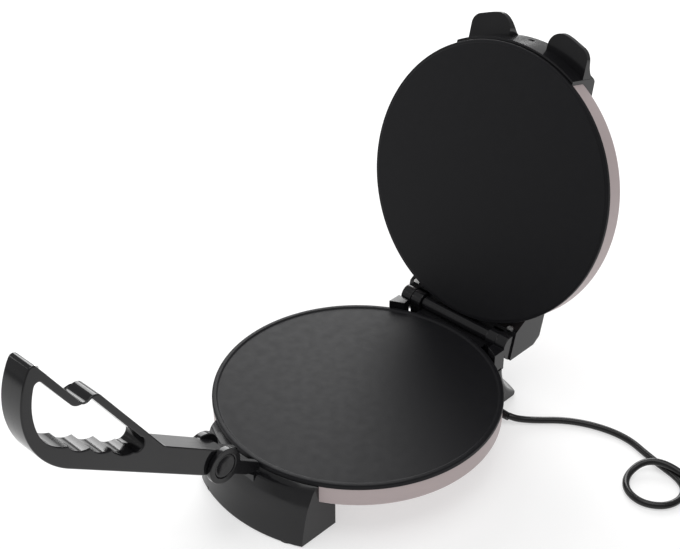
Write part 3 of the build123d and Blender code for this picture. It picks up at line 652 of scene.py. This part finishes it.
# ---------- front foot and yoke ----------
frontFootSet = {
    "halfWidth": 63.6,
    "topRadius": 139.2,
    "soleRadius": 150.6,
    "shoulderZ": -4.0,
    "bulge": 1.3,
    "soleZ": -57.6,
    "innerY": -95.5,
    "cornerRadius": 4.0,
    "cornerFrom": 119.5,
    "rim": (skirtRadius, -3.55),
    "lip": (132.4, -3.7),
    "shoulder": (137.2, -6.6),
    "shoulderRadius": 8.0,
    "blendRadius": 60.0,
    "startDeg": -38,
    "spans": [(-28.5, 2), (-22.5, 1), (22.5, 30), (28.5, 1), (38, 2)],
    "edge": 0.7,
}
yokeSet = {
    "innerX": 10.6,
    "outerX": 16.5,
    "discRadius": 16.4,
    "capRadius": 11.0,
    "capRecess": 2.0,
    "halfDepth": 6.2,
    "dropDeg": 35.5,
    "endZ": 1.2,
    "clearY": -137.4,
    "topBend": 4.6,  # how far before the foot the bar bends, on its upper and lower side
    "lowBend": 14.6,
    "edge": 0.8,
}
troughSet = {
    "innerRadius": 12.4,
    "outerRadius": 15.4,
    "arcDeg": (-122, -66),
    "webStart": 13.4,
    "webHeight": 3.4,
    "webZ": -24,
    "webThickness": 3.6,
}


def makeFrontFoot():
    s = frontFootSet
    middle = ((s["topRadius"] + s["soleRadius"]) / 2 + s["bulge"], (s["shoulderZ"] + s["soleZ"]) / 2)
    arc = throughThree((s["topRadius"], s["shoulderZ"]), middle, (s["soleRadius"], s["soleZ"]), 20)
    shoulder = roundOff([
        s["lip"], (*s["shoulder"], s["shoulderRadius"]), (*arc[7], s["blendRadius"]), arc[12],
    ], 10, closed=False)
    flank = [s["rim"], *shoulder, *arc[13:], (s["soleRadius"], s["soleZ"])]
    section = footSection(s, flank, coverSkirt[::-1])
    foot = sweptWedge("frontFoot", section, s["startDeg"], *s["spans"])
    return finishFoot(foot, s, 1)


def barPoint(distance, height):
    drop = math.radians(yokeSet["dropDeg"])
    return (
        pivot["y"] + distance * math.cos(drop) + height * math.sin(drop),
        pivot["z"] - distance * math.sin(drop) + height * math.cos(drop),
    )


def yokeBends():
    # where the bar's upper and lower side bend down to the foot
    s = yokeSet
    reach = (s["clearY"] - pivot["y"]) / math.cos(math.radians(s["dropDeg"]))
    return barPoint(reach - s["topBend"], s["halfDepth"]), barPoint(reach - s["lowBend"], -s["halfDepth"])


def makeYoke():
    s = yokeSet
    topBend, lowBend = yokeBends()
    side = math.degrees(math.asin(s["halfDepth"] / s["discRadius"]))
    startDeg, endDeg = -s["dropDeg"] + side, 360 - s["dropDeg"] - side
    disc = arcPoints((pivot["y"], pivot["z"]), s["discRadius"], startDeg, endDeg, 64)
    tail = roundOff([
        disc[-1], (*lowBend, 5.0), (s["clearY"], s["endZ"], 1.0), (s["clearY"], topBend[1] - 5, 3.0),
        (*topBend, 3.0), disc[0],
    ], closed=False)
    ear = sideSlab("yokeEar", disc + tail[1:-1], s["innerX"], s["outerX"])
    boreOut(ear, s["capRadius"], s["capRecess"] * 2, (s["outerX"], pivot["y"], pivot["z"]), (0, 90, 0), 64)
    soften(ear, s["edge"])
    return [ear, mirrorCopy(ear, "yokeEarLeft")]


def makeTrough():
    s, t = yokeSet, troughSet
    middle = (pivot["y"], pivot["z"])
    startDeg, endDeg = t["arcDeg"]
    inner = arcPoints(middle, t["innerRadius"], startDeg, endDeg, 20)
    outer = arcPoints(middle, t["outerRadius"], endDeg, startDeg, 20)
    trough = sideSlab("trough", inner + outer, -s["innerX"], s["innerX"])
    web = sideSlab("web", [
        barPoint(t["webStart"], t["webHeight"] - s["halfDepth"]), (s["clearY"], s["endZ"] + 3),
        (s["clearY"], t["webZ"]), (s["clearY"] - t["webThickness"], t["webZ"]),
        (s["clearY"] - 2.6, frontFootSet["shoulderZ"] - 3.5), yokeBends()[1],
        barPoint(t["webStart"], -s["halfDepth"]),
    ], -s["innerX"], s["innerX"])
    return [trough, web]


frontFoot = joinPieces("frontFoot", [makeFrontFoot(), *makeYoke(), *makeTrough()])
smoothShade(frontFoot, 32)
seat(frontFoot, "base", made["mouldedBlack"], ["front_foot"])
print("front foot made")


# ---------- pivot caps ----------
capSet = {"radius": 10.9, "faceX": 15.7, "innerX": 14.5, "dishRadius": 8.2}


def makePivotCap():
    s = capSet
    rings = [
        (2, s["faceX"] - 0.5), (s["dishRadius"] - 1.0, s["faceX"] - 0.5), (s["dishRadius"], s["faceX"]),
        (s["radius"] - 0.5, s["faceX"]), (s["radius"], s["faceX"] - 0.4), (s["radius"], s["innerX"]),
    ]
    cap = lathe("pivotCap", rings, 64)
    layAlongX(cap, (0, pivot["y"], pivot["z"]))
    return cap


capRight = makePivotCap()
capLeft = mirrorCopy(capRight, "pivotCapLeft")
pivotCaps = joinPieces("pivotCaps", [capRight, capLeft])
smoothShade(pivotCaps, 30)
seat(pivotCaps, "base", made["handleBlack"], ["pivot_caps"])


# ---------- handle ----------
handleSet = {
    "halfWidth": 12.0,
    "hubHalfWidth": 10.3,
    "pocketRadius": 17.3,
    "pocketDepth": 10,
    "halfDepth": 11.6,
    "seam": 0.02,
    "edge": 1.3,
    "noseCentre": (165.5, 62.9),
    "noseRadius": 74.9,
    "noseArcDeg": (-90, -5.8),
    "noseTipDeg": 1.6,
    "noseThickness": 9.6,
    "strapSlopeDeg": 22.0,
    "strapThickness": 5.9,
    "strapStart": 75.6,
    "strapStep": 12.8,
    "crestPlace": 169.6,
    "grooveStart": 175.6,
    "groovePitch": 22.4,
    "grooveHeight": 5.6,
    "grooveDepth": 3.2,
    "loopEnd": (105.6, 11.2),
    "loopEndRadius": 6.3,
}


def strapHeight(place, lifted):
    s = handleSet
    slope = math.radians(s["strapSlopeDeg"])
    line = s["halfDepth"] + (place - s["strapStart"]) * math.tan(slope)
    return line if lifted else line - s["strapStep"] / math.cos(slope)


def handleOutline():
    s = handleSet
    nx, ny = s["noseCentre"]
    tip = math.radians(s["noseTipDeg"])
    nose = arcPoints((nx, ny), s["noseRadius"], *s["noseArcDeg"], 52)
    dipPlace = s["crestPlace"] + 7.2
    crestPlace = s["crestPlace"] + 1.2
    head = roundOff([
        nose[-1],
        (nx + s["noseRadius"] * math.cos(tip), ny + s["noseRadius"] * math.sin(tip), 4.2),
        (dipPlace, strapHeight(dipPlace, False), 5.4),
        (crestPlace, strapHeight(crestPlace, True), 8.0),
        (s["strapStart"], s["halfDepth"], 12.0),
        (0, s["halfDepth"]),
    ], 9, closed=False)
    rear = arcPoints((0, 0), s["halfDepth"], 90, 270, 28)
    return nose[:-1] + head[:-1] + rear


def loopOutline():
    s = handleSet
    nx, ny = s["noseCentre"]
    inner = s["noseRadius"] - s["noseThickness"]
    slope = math.tan(math.radians(s["strapSlopeDeg"]))
    down = s["strapThickness"] / math.cos(math.radians(s["strapSlopeDeg"]))
    base = strapHeight(0, False) - down - ny
    reach = 1 + slope**2
    mid = nx - slope * base
    far = (mid + math.sqrt(mid**2 - reach * (nx**2 + base**2 - inner**2))) / reach
    corner = (far, strapHeight(far, False) - down)
    topDeg = math.degrees(math.atan2(corner[1] - ny, corner[0] - nx))
    nose = arcPoints((nx, ny), inner, topDeg - 6.0, -50, 34)
    railStart = nose[-1]
    rail = [(s["grooveStart"] - i * s["groovePitch"], s["grooveHeight"]) for i in range(3)]
    endX, endY = s["loopEnd"]
    last = (endX + 1.5, endY - s["loopEndRadius"])
    path = nose[:-1]
    railMiddle = ((railStart[0] + rail[0][0]) / 2 - 2.5, s["grooveHeight"] - 0.7)
    path += throughThree(railStart, railMiddle, rail[0], 12)
    for start, end in zip(rail, rail[1:] + [last]):
        low = min(start[1], end[1]) - s["grooveDepth"]
        path += throughThree(start, ((start[0] + end[0]) / 2, low), end, 12)
    endTop = (endX + 0.5, strapHeight(endX + 0.5, True) - down)
    path += throughThree(last, (endX - s["loopEndRadius"], endY + 0.5), endTop, 14)
    crestPlace = s["crestPlace"] + 2.8
    dipPlace = s["crestPlace"] + 13.4
    path += roundOff([
        endTop,
        (crestPlace, strapHeight(crestPlace, True) - down, 5.0),
        (dipPlace, strapHeight(dipPlace, False) - down, 10.0),
        (corner[0], corner[1], 4.6),
        nose[0],
    ], 9, closed=False)[:-1]
    return path


def flatCurve(name, loops, halfWidth, edge):
    # a flat curve filled between its loops, with rounded rims, made a mesh
    curve = bpy.data.curves.new(name, "CURVE")
    curve.dimensions = "2D"
    curve.fill_mode = "BOTH"
    curve.extrude = (halfWidth - edge) * mm
    curve.bevel_depth = edge * mm
    curve.bevel_resolution = 3
    curve.offset = -edge * mm
    for loop in loops:
        spline = curve.splines.new("POLY")
        spline.points.add(len(loop) - 1)
        for knot, (across, up) in zip(spline.points, loop):
            knot.co = (across * mm, up * mm, 0, 1)
        spline.use_cyclic_u = True
    piece = bpy.data.objects.new(name, curve)
    bpy.context.scene.collection.objects.link(piece)
    makeActive(piece)
    bpy.ops.object.convert(target="MESH")
    return piece


def makeHandle():
    s = handleSet
    handle = flatCurve("handleRight", [handleOutline(), loopOutline()], s["halfWidth"], s["edge"])
    rise = math.radians(pivot["riseDeg"])
    handle.matrix_world = Matrix((
        (0, 0, -1, 0),
        (-math.cos(rise), math.sin(rise), 0, pivot["y"] * mm),
        (math.sin(rise), math.cos(rise), 0, pivot["z"] * mm),
        (0, 0, 0, 1),
    ))
    applyPlace(handle)
    tidyNormals(handle)
    trim(handle, (s["seam"], 0, 0), (-1, 0, 0))
    tidyNormals(handle)
    # the hub steps in, so that it turns between the yoke's discs
    pocket = (s["hubHalfWidth"] + s["pocketDepth"] / 2, pivot["y"], pivot["z"])
    boreOut(handle, s["pocketRadius"], s["pocketDepth"], pocket, (0, 90, 0), 96)
    tidyNormals(handle)
    return handle


handleRight = makeHandle()
handleLeft = mirrorCopy(handleRight, "handleLeft")
for piece, node in ((handleRight, "handle_right_half"), (handleLeft, "handle_left_half")):
    smoothShade(piece, 34)
    seat(piece, "handle", made["handleBlack"], [node])
print("handle made")


# ---------- rear foot ----------
rearFootSet = {
    "halfWidth": 66.0,
    "ledgeZ": -11.1,
    "wallRadius": 145.4,
    "soleRadius": 167.0,
    "flareZ": -17.0,
    "flareBulge": 6.0,
    "soleZ": -57.6,
    "soleEdge": 2.0,
    "innerY": 95.5,
    "cornerRadius": 5.0,
    "cornerFrom": 127,
    "startDeg": 142,
    "spans": [(151, 2), (159.5, 1), (200.5, 28), (209, 1), (218, 2)],
    "edge": 0.7,
}
postSet = {
    "innerX": 41.0,
    "outerX": 52.3,
    "radius": 9.0,
    "blockY": 129.4,
    "blockZ": 7.9,
    "blockRadii": (132.7, 152),
    "blockGap": 0.4,
    "barrelRadius": 6.4,
}
bridgeSet = {"innerY": 112, "drop": 8, "barrelGap": 0.9, "plateRadius": 132.6, "sunk": 4}


def makeRearFoot():
    s = rearFootSet
    bottom = s["soleZ"] + s["soleEdge"]
    middle = (s["wallRadius"] + s["flareBulge"], (s["flareZ"] + s["soleZ"]) / 2)
    flare = throughThree((s["wallRadius"], s["flareZ"]), middle, (s["soleRadius"], bottom), 20)
    flank = [(skirtRadius, s["ledgeZ"]), (s["wallRadius"], s["ledgeZ"])] + flare
    flank += [(s["soleRadius"], bottom), (s["soleRadius"] - 0.6, s["soleZ"])]
    section = footSection(s, flank, coverSkirt[:0:-1])
    foot = sweptWedge("rearFoot", section, s["startDeg"], *s["spans"])
    return finishFoot(foot, s, -1)


def makeSideBlock():
    # cheek block beside the hinge, whose front follows the plate's rim
    s, p = rearFootSet, postSet
    near, far = p["blockRadii"]
    low = s["ledgeZ"] - 3
    section = [(near, low), (near, p["blockZ"]), (far, p["blockZ"]), (far, low)]
    block = sweptWedge("sideBlock", section, 146, (164, 24))
    trim(block, (p["outerX"] + p["blockGap"], 0, 0), (-1, 0, 0))
    trim(block, (s["halfWidth"], 0, 0), (1, 0, 0))
    trim(block, (0, p["blockY"], 0), (0, 1, 0))
    soften(block, 0.6)
    return block


def makePost():
    p, ledgeZ = postSet, rearFootSet["ledgeZ"]
    low = ledgeZ - bridgeSet["sunk"]
    outline = arcPoints((hinge["y"], hinge["z"]), p["radius"], 0, 180, 28)
    outline += [
        (hinge["y"] - p["radius"], low), (hinge["y"] + 4, low), (hinge["y"] + p["radius"], ledgeZ + 5),
    ]
    post = sideSlab("hingePost", outline, p["innerX"], p["outerX"])
    soften(post, 0.6)
    return post


def makeBridge():
    # the trough in front of the lid's barrel
    p, s = postSet, bridgeSet
    foot = rearFootSet["ledgeZ"] - s["sunk"]
    top = p["blockZ"] - s["drop"]
    trough = p["barrelRadius"] + s["barrelGap"]
    startDeg = math.degrees(math.asin((top - hinge["z"]) / trough))
    mouth = hinge["y"] - p["barrelRadius"]
    low = hinge["z"] - math.sqrt(trough**2 - (hinge["y"] - mouth) ** 2)
    endDeg = math.degrees(math.atan2(low - hinge["z"], mouth - hinge["y"]))
    curve = arcPoints((hinge["y"], hinge["z"]), trough, 180 - startDeg, endDeg % 360, 8)
    outline = [(s["innerY"], foot), (s["innerY"], top)] + curve + [(mouth, foot)]
    bridge = sideSlab("bridge", outline, -p["innerX"], p["innerX"])
    ring = lathe("ringCutter", [(s["plateRadius"], -3.6), (s["plateRadius"], 30)], 192)
    cutWith(bridge, ring)
    soften(bridge, 0.5)
    return bridge


sideBlock = makeSideBlock()
post = makePost()
rearFoot = joinPieces("rearFoot", [
    makeRearFoot(), sideBlock, mirrorCopy(sideBlock, "sideBlockLeft"),
    post, mirrorCopy(post, "postLeft"), makeBridge(),
])
smoothShade(rearFoot, 32)
seat(rearFoot, "base", made["mouldedBlack"], ["rear_foot"])
print("rear foot made")


# ---------- lid brackets ----------
frontBracketSet = {
    "halfWidth": 65.0,
    "wallRadius": 134.6,
    "footZ": 5.4,
    "topZ": 41.4,
    "earInnerX": 21.0,
    "earOuterX": 64.6,
    "earRadius": 155.5,
    "earZ": 21.4,
    "earTip": 5.0,
    "earSunk": 1.5,  # how far an ear's root reaches into the wall
    "innerCorner": 14.0,
    "outerCorner": 12.0,
    "holeRadius": 3.1,
    "holeDepth": 4,
    "holeZ": 27.4,
    "edge": 0.8,
}
upperSkirt = [(131.5, 6.4), (131.5, 21.9), (130.8, 23.4), (121.6, 35.3), (119.6, 36.9), (104.0, 40.8)]


def makeBracketWall():
    s = frontBracketSet
    section = roundOff([
        (132.3, s["footZ"]), (s["wallRadius"], s["footZ"]), (s["wallRadius"], s["topZ"] - 2.5, 2.0),
        (s["wallRadius"] - 2.5, s["topZ"], 2.0), (120.5, 42.4), (104.0, 44.6),
        *upperSkirt[::-1], (132.3, 6.4),
    ], 4)
    wall = sweptWedge("bracketWall", section, -34, (34, 80))
    trim(wall, (s["halfWidth"], 0, 0), (1, 0, 0))
    trim(wall, (-s["halfWidth"], 0, 0), (-1, 0, 0))
    boreOut(wall, s["holeRadius"], s["holeDepth"], (0, -s["wallRadius"], s["holeZ"]), (90, 0, 0), 32)
    soften(wall, 0.6)
    return wall


def makeEar():
    s = frontBracketSet
    tipZ = s["earZ"] + s["earTip"]
    root = s["wallRadius"] - s["earSunk"]
    top = (root, s["topZ"] - s["earSunk"])
    slope = throughThree((s["earRadius"], tipZ), (s["wallRadius"] + 5.5, s["earZ"] + 9.5), top, 20)
    section = slope + [
        top, (root, s["earZ"]), (s["earRadius"] + 2, s["earZ"]), (s["earRadius"] + 2, tipZ - 0.6),
    ]
    ear = sweptWedge("liftEar", section, 4, (13, 1), (21, 8), (31, 1))
    # its plan has a round tip whose inner corner is the larger one
    innerTip = -math.sqrt(s["earRadius"] ** 2 - s["earInnerX"] ** 2)
    outerTip = -math.sqrt(s["earRadius"] ** 2 - s["earOuterX"] ** 2)
    midX = (s["earInnerX"] + s["earOuterX"]) / 2
    midTip = -math.sqrt(s["earRadius"] ** 2 - midX**2)
    plan = roundOff([
        (s["earInnerX"], 2 - root), (s["earInnerX"], innerTip, s["innerCorner"]), (midX, midTip, 60.0),
        (s["earOuterX"], outerTip, s["outerCorner"]), (s["earOuterX"], 24 - root),
    ], 12)
    mould = drawOutline("earPlan", [(x, y, s["earZ"] - 3) for x, y in plan])
    pullOut(mould, (0, 0, 30 * mm))
    cutWith(ear, mould, "INTERSECT")
    tidyNormals(ear)
    soften(ear, s["edge"])
    return ear


ear = makeEar()
frontBracket = joinPieces("lidFrontBracket", [makeBracketWall(), ear, mirrorCopy(ear, "liftEarLeft")])
smoothShade(frontBracket, 32)
openLid(frontBracket)
seat(frontBracket, "lid", made["mouldedBlack"], ["lid_front_bracket"])

rearBracketSet = {
    "halfWidth": 66.0,
    "topZ": 51.4,
    "innerY": 103.0,
    "underZ": 8.9,
    "bevel": 7.0,
    "stop": 16.7,
    "cheekRadius": 9.6,
    "cheekX": 52.7,
    "cheekInset": 1.6,
    "barrelHalf": 40.4,
    "slotReach": 19.1,
    "slotGap": 0.8,
    "slotRise": 5.0,
    "edge": 0.9,
}


# the upper cover with a little room round it, (r, z)
coverRings = [(132.4, 1.0), (132.4, 6.6), (131.6, 6.7), (131.6, 22.6), (120.9, 37.0), (92, 43.5)]


def rearBracketPlaces():
    # the heel that meets the stop, and the top of the back wall
    s = rearBracketSet
    lean = math.radians(hinge["openDeg"] - 90)
    foot = (hinge["y"] + s["stop"] * math.cos(lean), hinge["z"] + s["stop"] * math.sin(lean))
    climb = (s["topZ"] - s["bevel"] - foot[1]) / math.cos(lean)
    backTop = (foot[0] - climb * math.sin(lean), s["topZ"] - s["bevel"])
    return foot, backTop


def makeRearBracket():
    s = rearBracketSet
    foot, backTop = rearBracketPlaces()
    body = sideSlab("rearBracketBody", roundOff([
        (s["innerY"], s["topZ"], 3.0), (s["innerY"], 36.0), (s["innerY"] + 8, s["underZ"] + 16),
        (127.0, s["underZ"]), (foot[0] - 2.0, s["underZ"]), foot,
        (backTop[0], backTop[1], 3.0), (backTop[0] - s["bevel"] - 1, s["topZ"], 3.0),
    ], 5), -s["halfWidth"], s["halfWidth"])
    cutWith(body, lathe("coverCutter", coverRings, 192))
    # slots that the hinge posts swing into as the lid opens
    slotRadius = math.hypot(postSet["radius"], s["slotReach"]) + s["slotGap"]
    near, far = hinge["y"] - postSet["radius"] - s["slotGap"], hinge["y"] + slotRadius
    low, roof = hinge["z"] - 30, hinge["z"] + postSet["radius"]
    slot = [(near, low), (near, roof + s["slotGap"]), (far, roof + s["slotRise"]), (far, low)]
    for side in (-1, 1):
        xFrom, xTo = sorted((side * (s["barrelHalf"] + 0.01), side * s["cheekX"]))
        cutWith(body, sideSlab("slotCutter", slot, xFrom, xTo))
    soften(body, s["edge"])
    return body


def makeCheek():
    s = rearBracketSet
    foot = rearBracketPlaces()[0]
    outline = arcPoints((hinge["y"], hinge["z"]), s["cheekRadius"], 180, 270, 16)
    outline += throughThree((hinge["y"] + 0.5, hinge["z"] - s["cheekRadius"]),
                            (hinge["y"] + 10.5, hinge["z"] - 5.5), foot, 12)
    outline += [foot, (foot[0] - 1.0, s["underZ"] + 2), (hinge["y"] - s["cheekRadius"], s["underZ"] + 2)]
    cheek = sideSlab("cheek", outline, s["cheekX"], s["halfWidth"] - s["cheekInset"])
    soften(cheek, 2.4, 5)
    return cheek


def makeBarrel():
    s, p = rearBracketSet, postSet
    foot = rearBracketPlaces()[0]
    outline = arcPoints((hinge["y"], hinge["z"]), p["barrelRadius"], 180, 315, 26)
    outline += [foot, (foot[0] - 1.0, s["underZ"] + 2), (hinge["y"] - p["barrelRadius"], s["underZ"] + 2)]
    barrel = sideSlab("barrel", outline, -s["barrelHalf"], s["barrelHalf"])
    soften(barrel, 0.4)
    return barrel


cheek = makeCheek()
rearBracket = joinPieces("lidRearBracket", [
    makeRearBracket(), cheek, mirrorCopy(cheek, "cheekLeft"), makeBarrel(),
])
smoothShade(rearBracket, 32)
openLid(rearBracket)
seat(rearBracket, "lid", made["mouldedBlack"], ["lid_rear_bracket"])
print("lid brackets made")


# ---------- plug and strain relief ----------
plugSet = {
    "x": cordSet["plugX"],
    "y": 157.0,
    "length": 34.0,
    "halfWidth": 13.0,
    "height": 22.0,
    "waistShare": 0.45,
    "waistReach": 9,
    "waistScale": 0.82,
    "round": 3.5,
    "ribs": 5,
    "ribPitch": 3.2,
}


def makePlug():
    s = plugSet
    deselectAll()
    bpy.ops.mesh.primitive_cube_add(
        size=1, location=Vector((s["x"] + s["length"] / 2, s["y"], table["z"] + s["height"] / 2)) * mm,
        scale=(s["length"] * mm, 2 * s["halfWidth"] * mm, s["height"] * mm),
    )
    body = bpy.context.object
    body.name = "plugBody"
    applyPlace(body)
    editMode("EDGE")
    bpy.ops.mesh.select_all(action="SELECT")
    bpy.ops.mesh.subdivide(number_cuts=5)
    objectMode()
    # waist that the fingers grip
    waist = (s["x"] + s["length"] * s["waistShare"]) * mm
    sideY = (s["halfWidth"] - 0.5) * mm
    pick(body, "VERT", lambda co: abs(co.x - waist) < s["waistReach"] * mm
         and abs(co.y - s["y"] * mm) > sideY)
    bpy.ops.transform.resize(value=(1, s["waistScale"], 1), center_override=Vector((waist, s["y"] * mm, 0)))
    objectMode()
    soften(body, s["round"], 5, 50)
    rings = [(2, 0), (5.6, 0), (5.6, -1.0)]
    for rib in range(s["ribs"]):
        start = -1.5 - rib * s["ribPitch"]
        size = 5.4 - rib * 0.25
        rings += [(size, start), (size, start - 2.0), (size - 0.9, start - 2.3), (size - 0.9, start - 2.9)]
    rings += [(4.0, -18.0), (3.4, -18.4)]
    sleeve = lathe("plugSleeve", rings, 40)
    layAlongX(sleeve, (s["x"] + 1.0, s["y"], table["z"] + 11))
    plug = joinPieces("plugBody", [body, sleeve])
    smoothShade(plug, 40)
    return plug


plug = makePlug()
seat(plug, "base", made["cordSheath"], ["plug_body"])


glandSet = {"flange": 5.4, "length": 22.0}


def makeGland():
    s = glandSet
    rings = [(2, -6), (4.0, -6), (4.0, 0), (s["flange"], 0), (s["flange"], 2.2), (s["flange"] - 0.6, 3.0)]
    rings += [(4.7, 3.0), (4.6, 4.0), (3.8, s["length"] - 1.0), (3.7, s["length"]), (3.3, s["length"])]
    gland = lathe("strainRelief", rings, 40)
    layAlongX(gland, cordSet["exit"])
    smoothShade(gland, 40)
    return gland


gland = makeGland()
seat(gland, "base", made["cordSheath"], ["cord_gland"])

cord.data.materials.append(made["cordSheath"])
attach(cord, "base")
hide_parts("cord_run", "cord_coil", "plug_lead")
print("cord and plug made")


# ---------- nodes that stay as they are ----------
nodeFinishes = {
    "dullSteel": [
        "lower_heater", "upper_heater", "lower_heater_clamps", "upper_heater_clamps", "thermal_fuse",
    ],
    "turnedSteel": [
        "lower_standoffs", "upper_standoffs", "base_screws", "lid_screws", "handle_screws", "pivot_pin",
        "hinge_pin",
    ],
    "padRubber": ["foot_pads"],
    "ceramicWhite": ["thermostat", "terminal_block"],
    "pinBrass": ["plug_pins"],
    "lampRed": ["lamp_lenses"],
}
for finishName, nodeNames in nodeFinishes.items():
    for nodeName in nodeNames:
        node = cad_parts[nodeName]
        node.data.materials.clear()
        node.data.materials.append(made[finishName])
print("nodes dressed")


# ---------- floor and lights ----------
studio = {
    "floorSize": 8.0,
    "floorDrop": 0.05,
    "paper": ((0.50, 0.50, 0.50), (0.52, 0.52, 0.52)),
    "paperRoughness": 0.9,
    "paperSpecular": 0.1,
    "glow": 0.52,
    "glowRadii": (1.35, 2.6),
    "world": 0.45,
    "lights": [
        # name, place, aim, width, height, power
        ("topLight", (0.2, -0.1, 2.0), (0.0, 0.0, 0.0), 1.6, 1.6, 16),
        ("backLight", (-1.6, 1.7, 1.36), (0.0, 0.0, 0.05), 1.5, 1.85, 52),
        ("leftLight", (-2.0, -1.0, 0.9), (0.0, -0.1, 0.0), 1.2, 1.2, 14),
    ],
}


def makeFloor():
    # white paper that glows around the object, like a light table
    deselectAll()
    floorZ = (table["z"] - studio["floorDrop"]) * mm
    bpy.ops.mesh.primitive_plane_add(size=studio["floorSize"], location=(0, 0, floorZ))
    floor = bpy.context.object
    floor.name = "floor"
    applyPlace(floor)
    material, nodes, links, shader = newMaterial("paperWhite")
    noise = objectNoise(nodes, links, 30, 2)
    mottle(nodes, links, shader, noise, *studio["paper"])
    shader.inputs["Roughness"].default_value = studio["paperRoughness"]
    shader.inputs["Specular IOR Level"].default_value = studio["paperSpecular"]
    shader.inputs["Emission Color"].default_value = (1, 1, 1, 1)
    place = nodes.new("ShaderNodeTexCoord")
    reach = nodes.new("ShaderNodeVectorMath")
    reach.operation = "LENGTH"
    fade = nodes.new("ShaderNodeMapRange")
    fade.interpolation_type = "SMOOTHSTEP"
    fade.inputs["From Min"].default_value, fade.inputs["From Max"].default_value = studio["glowRadii"]
    fade.inputs["To Min"].default_value, fade.inputs["To Max"].default_value = studio["glow"], 0.0
    links.new(place.outputs["Object"], reach.inputs[0])
    links.new(reach.outputs["Value"], fade.inputs["Value"])
    links.new(fade.outputs["Result"], shader.inputs["Emission Strength"])
    floor.data.materials.append(material)


def makeLight(name, place, aim, width, height, power):
    bpy.ops.object.light_add(type="AREA", location=place)
    light = bpy.context.object
    light.name = name
    light.data.shape = "RECTANGLE"
    light.data.size, light.data.size_y = width, height
    light.data.energy = power
    light.rotation_mode = "QUATERNION"
    light.rotation_quaternion = (Vector(aim) - Vector(place)).to_track_quat("-Z", "Y")


def makeWorld():
    world = bpy.data.worlds.new("studio")
    bpy.context.scene.world = world
    world.use_nodes = True
    shade = world.node_tree.nodes["Background"]
    shade.inputs["Color"].default_value = (1, 1, 1, 1)
    shade.inputs["Strength"].default_value = studio["world"]


makeFloor()
for light in studio["lights"]:
    makeLight(*light)
makeWorld()
bpy.context.scene.view_settings.view_transform = "Standard"
print("studio lit")
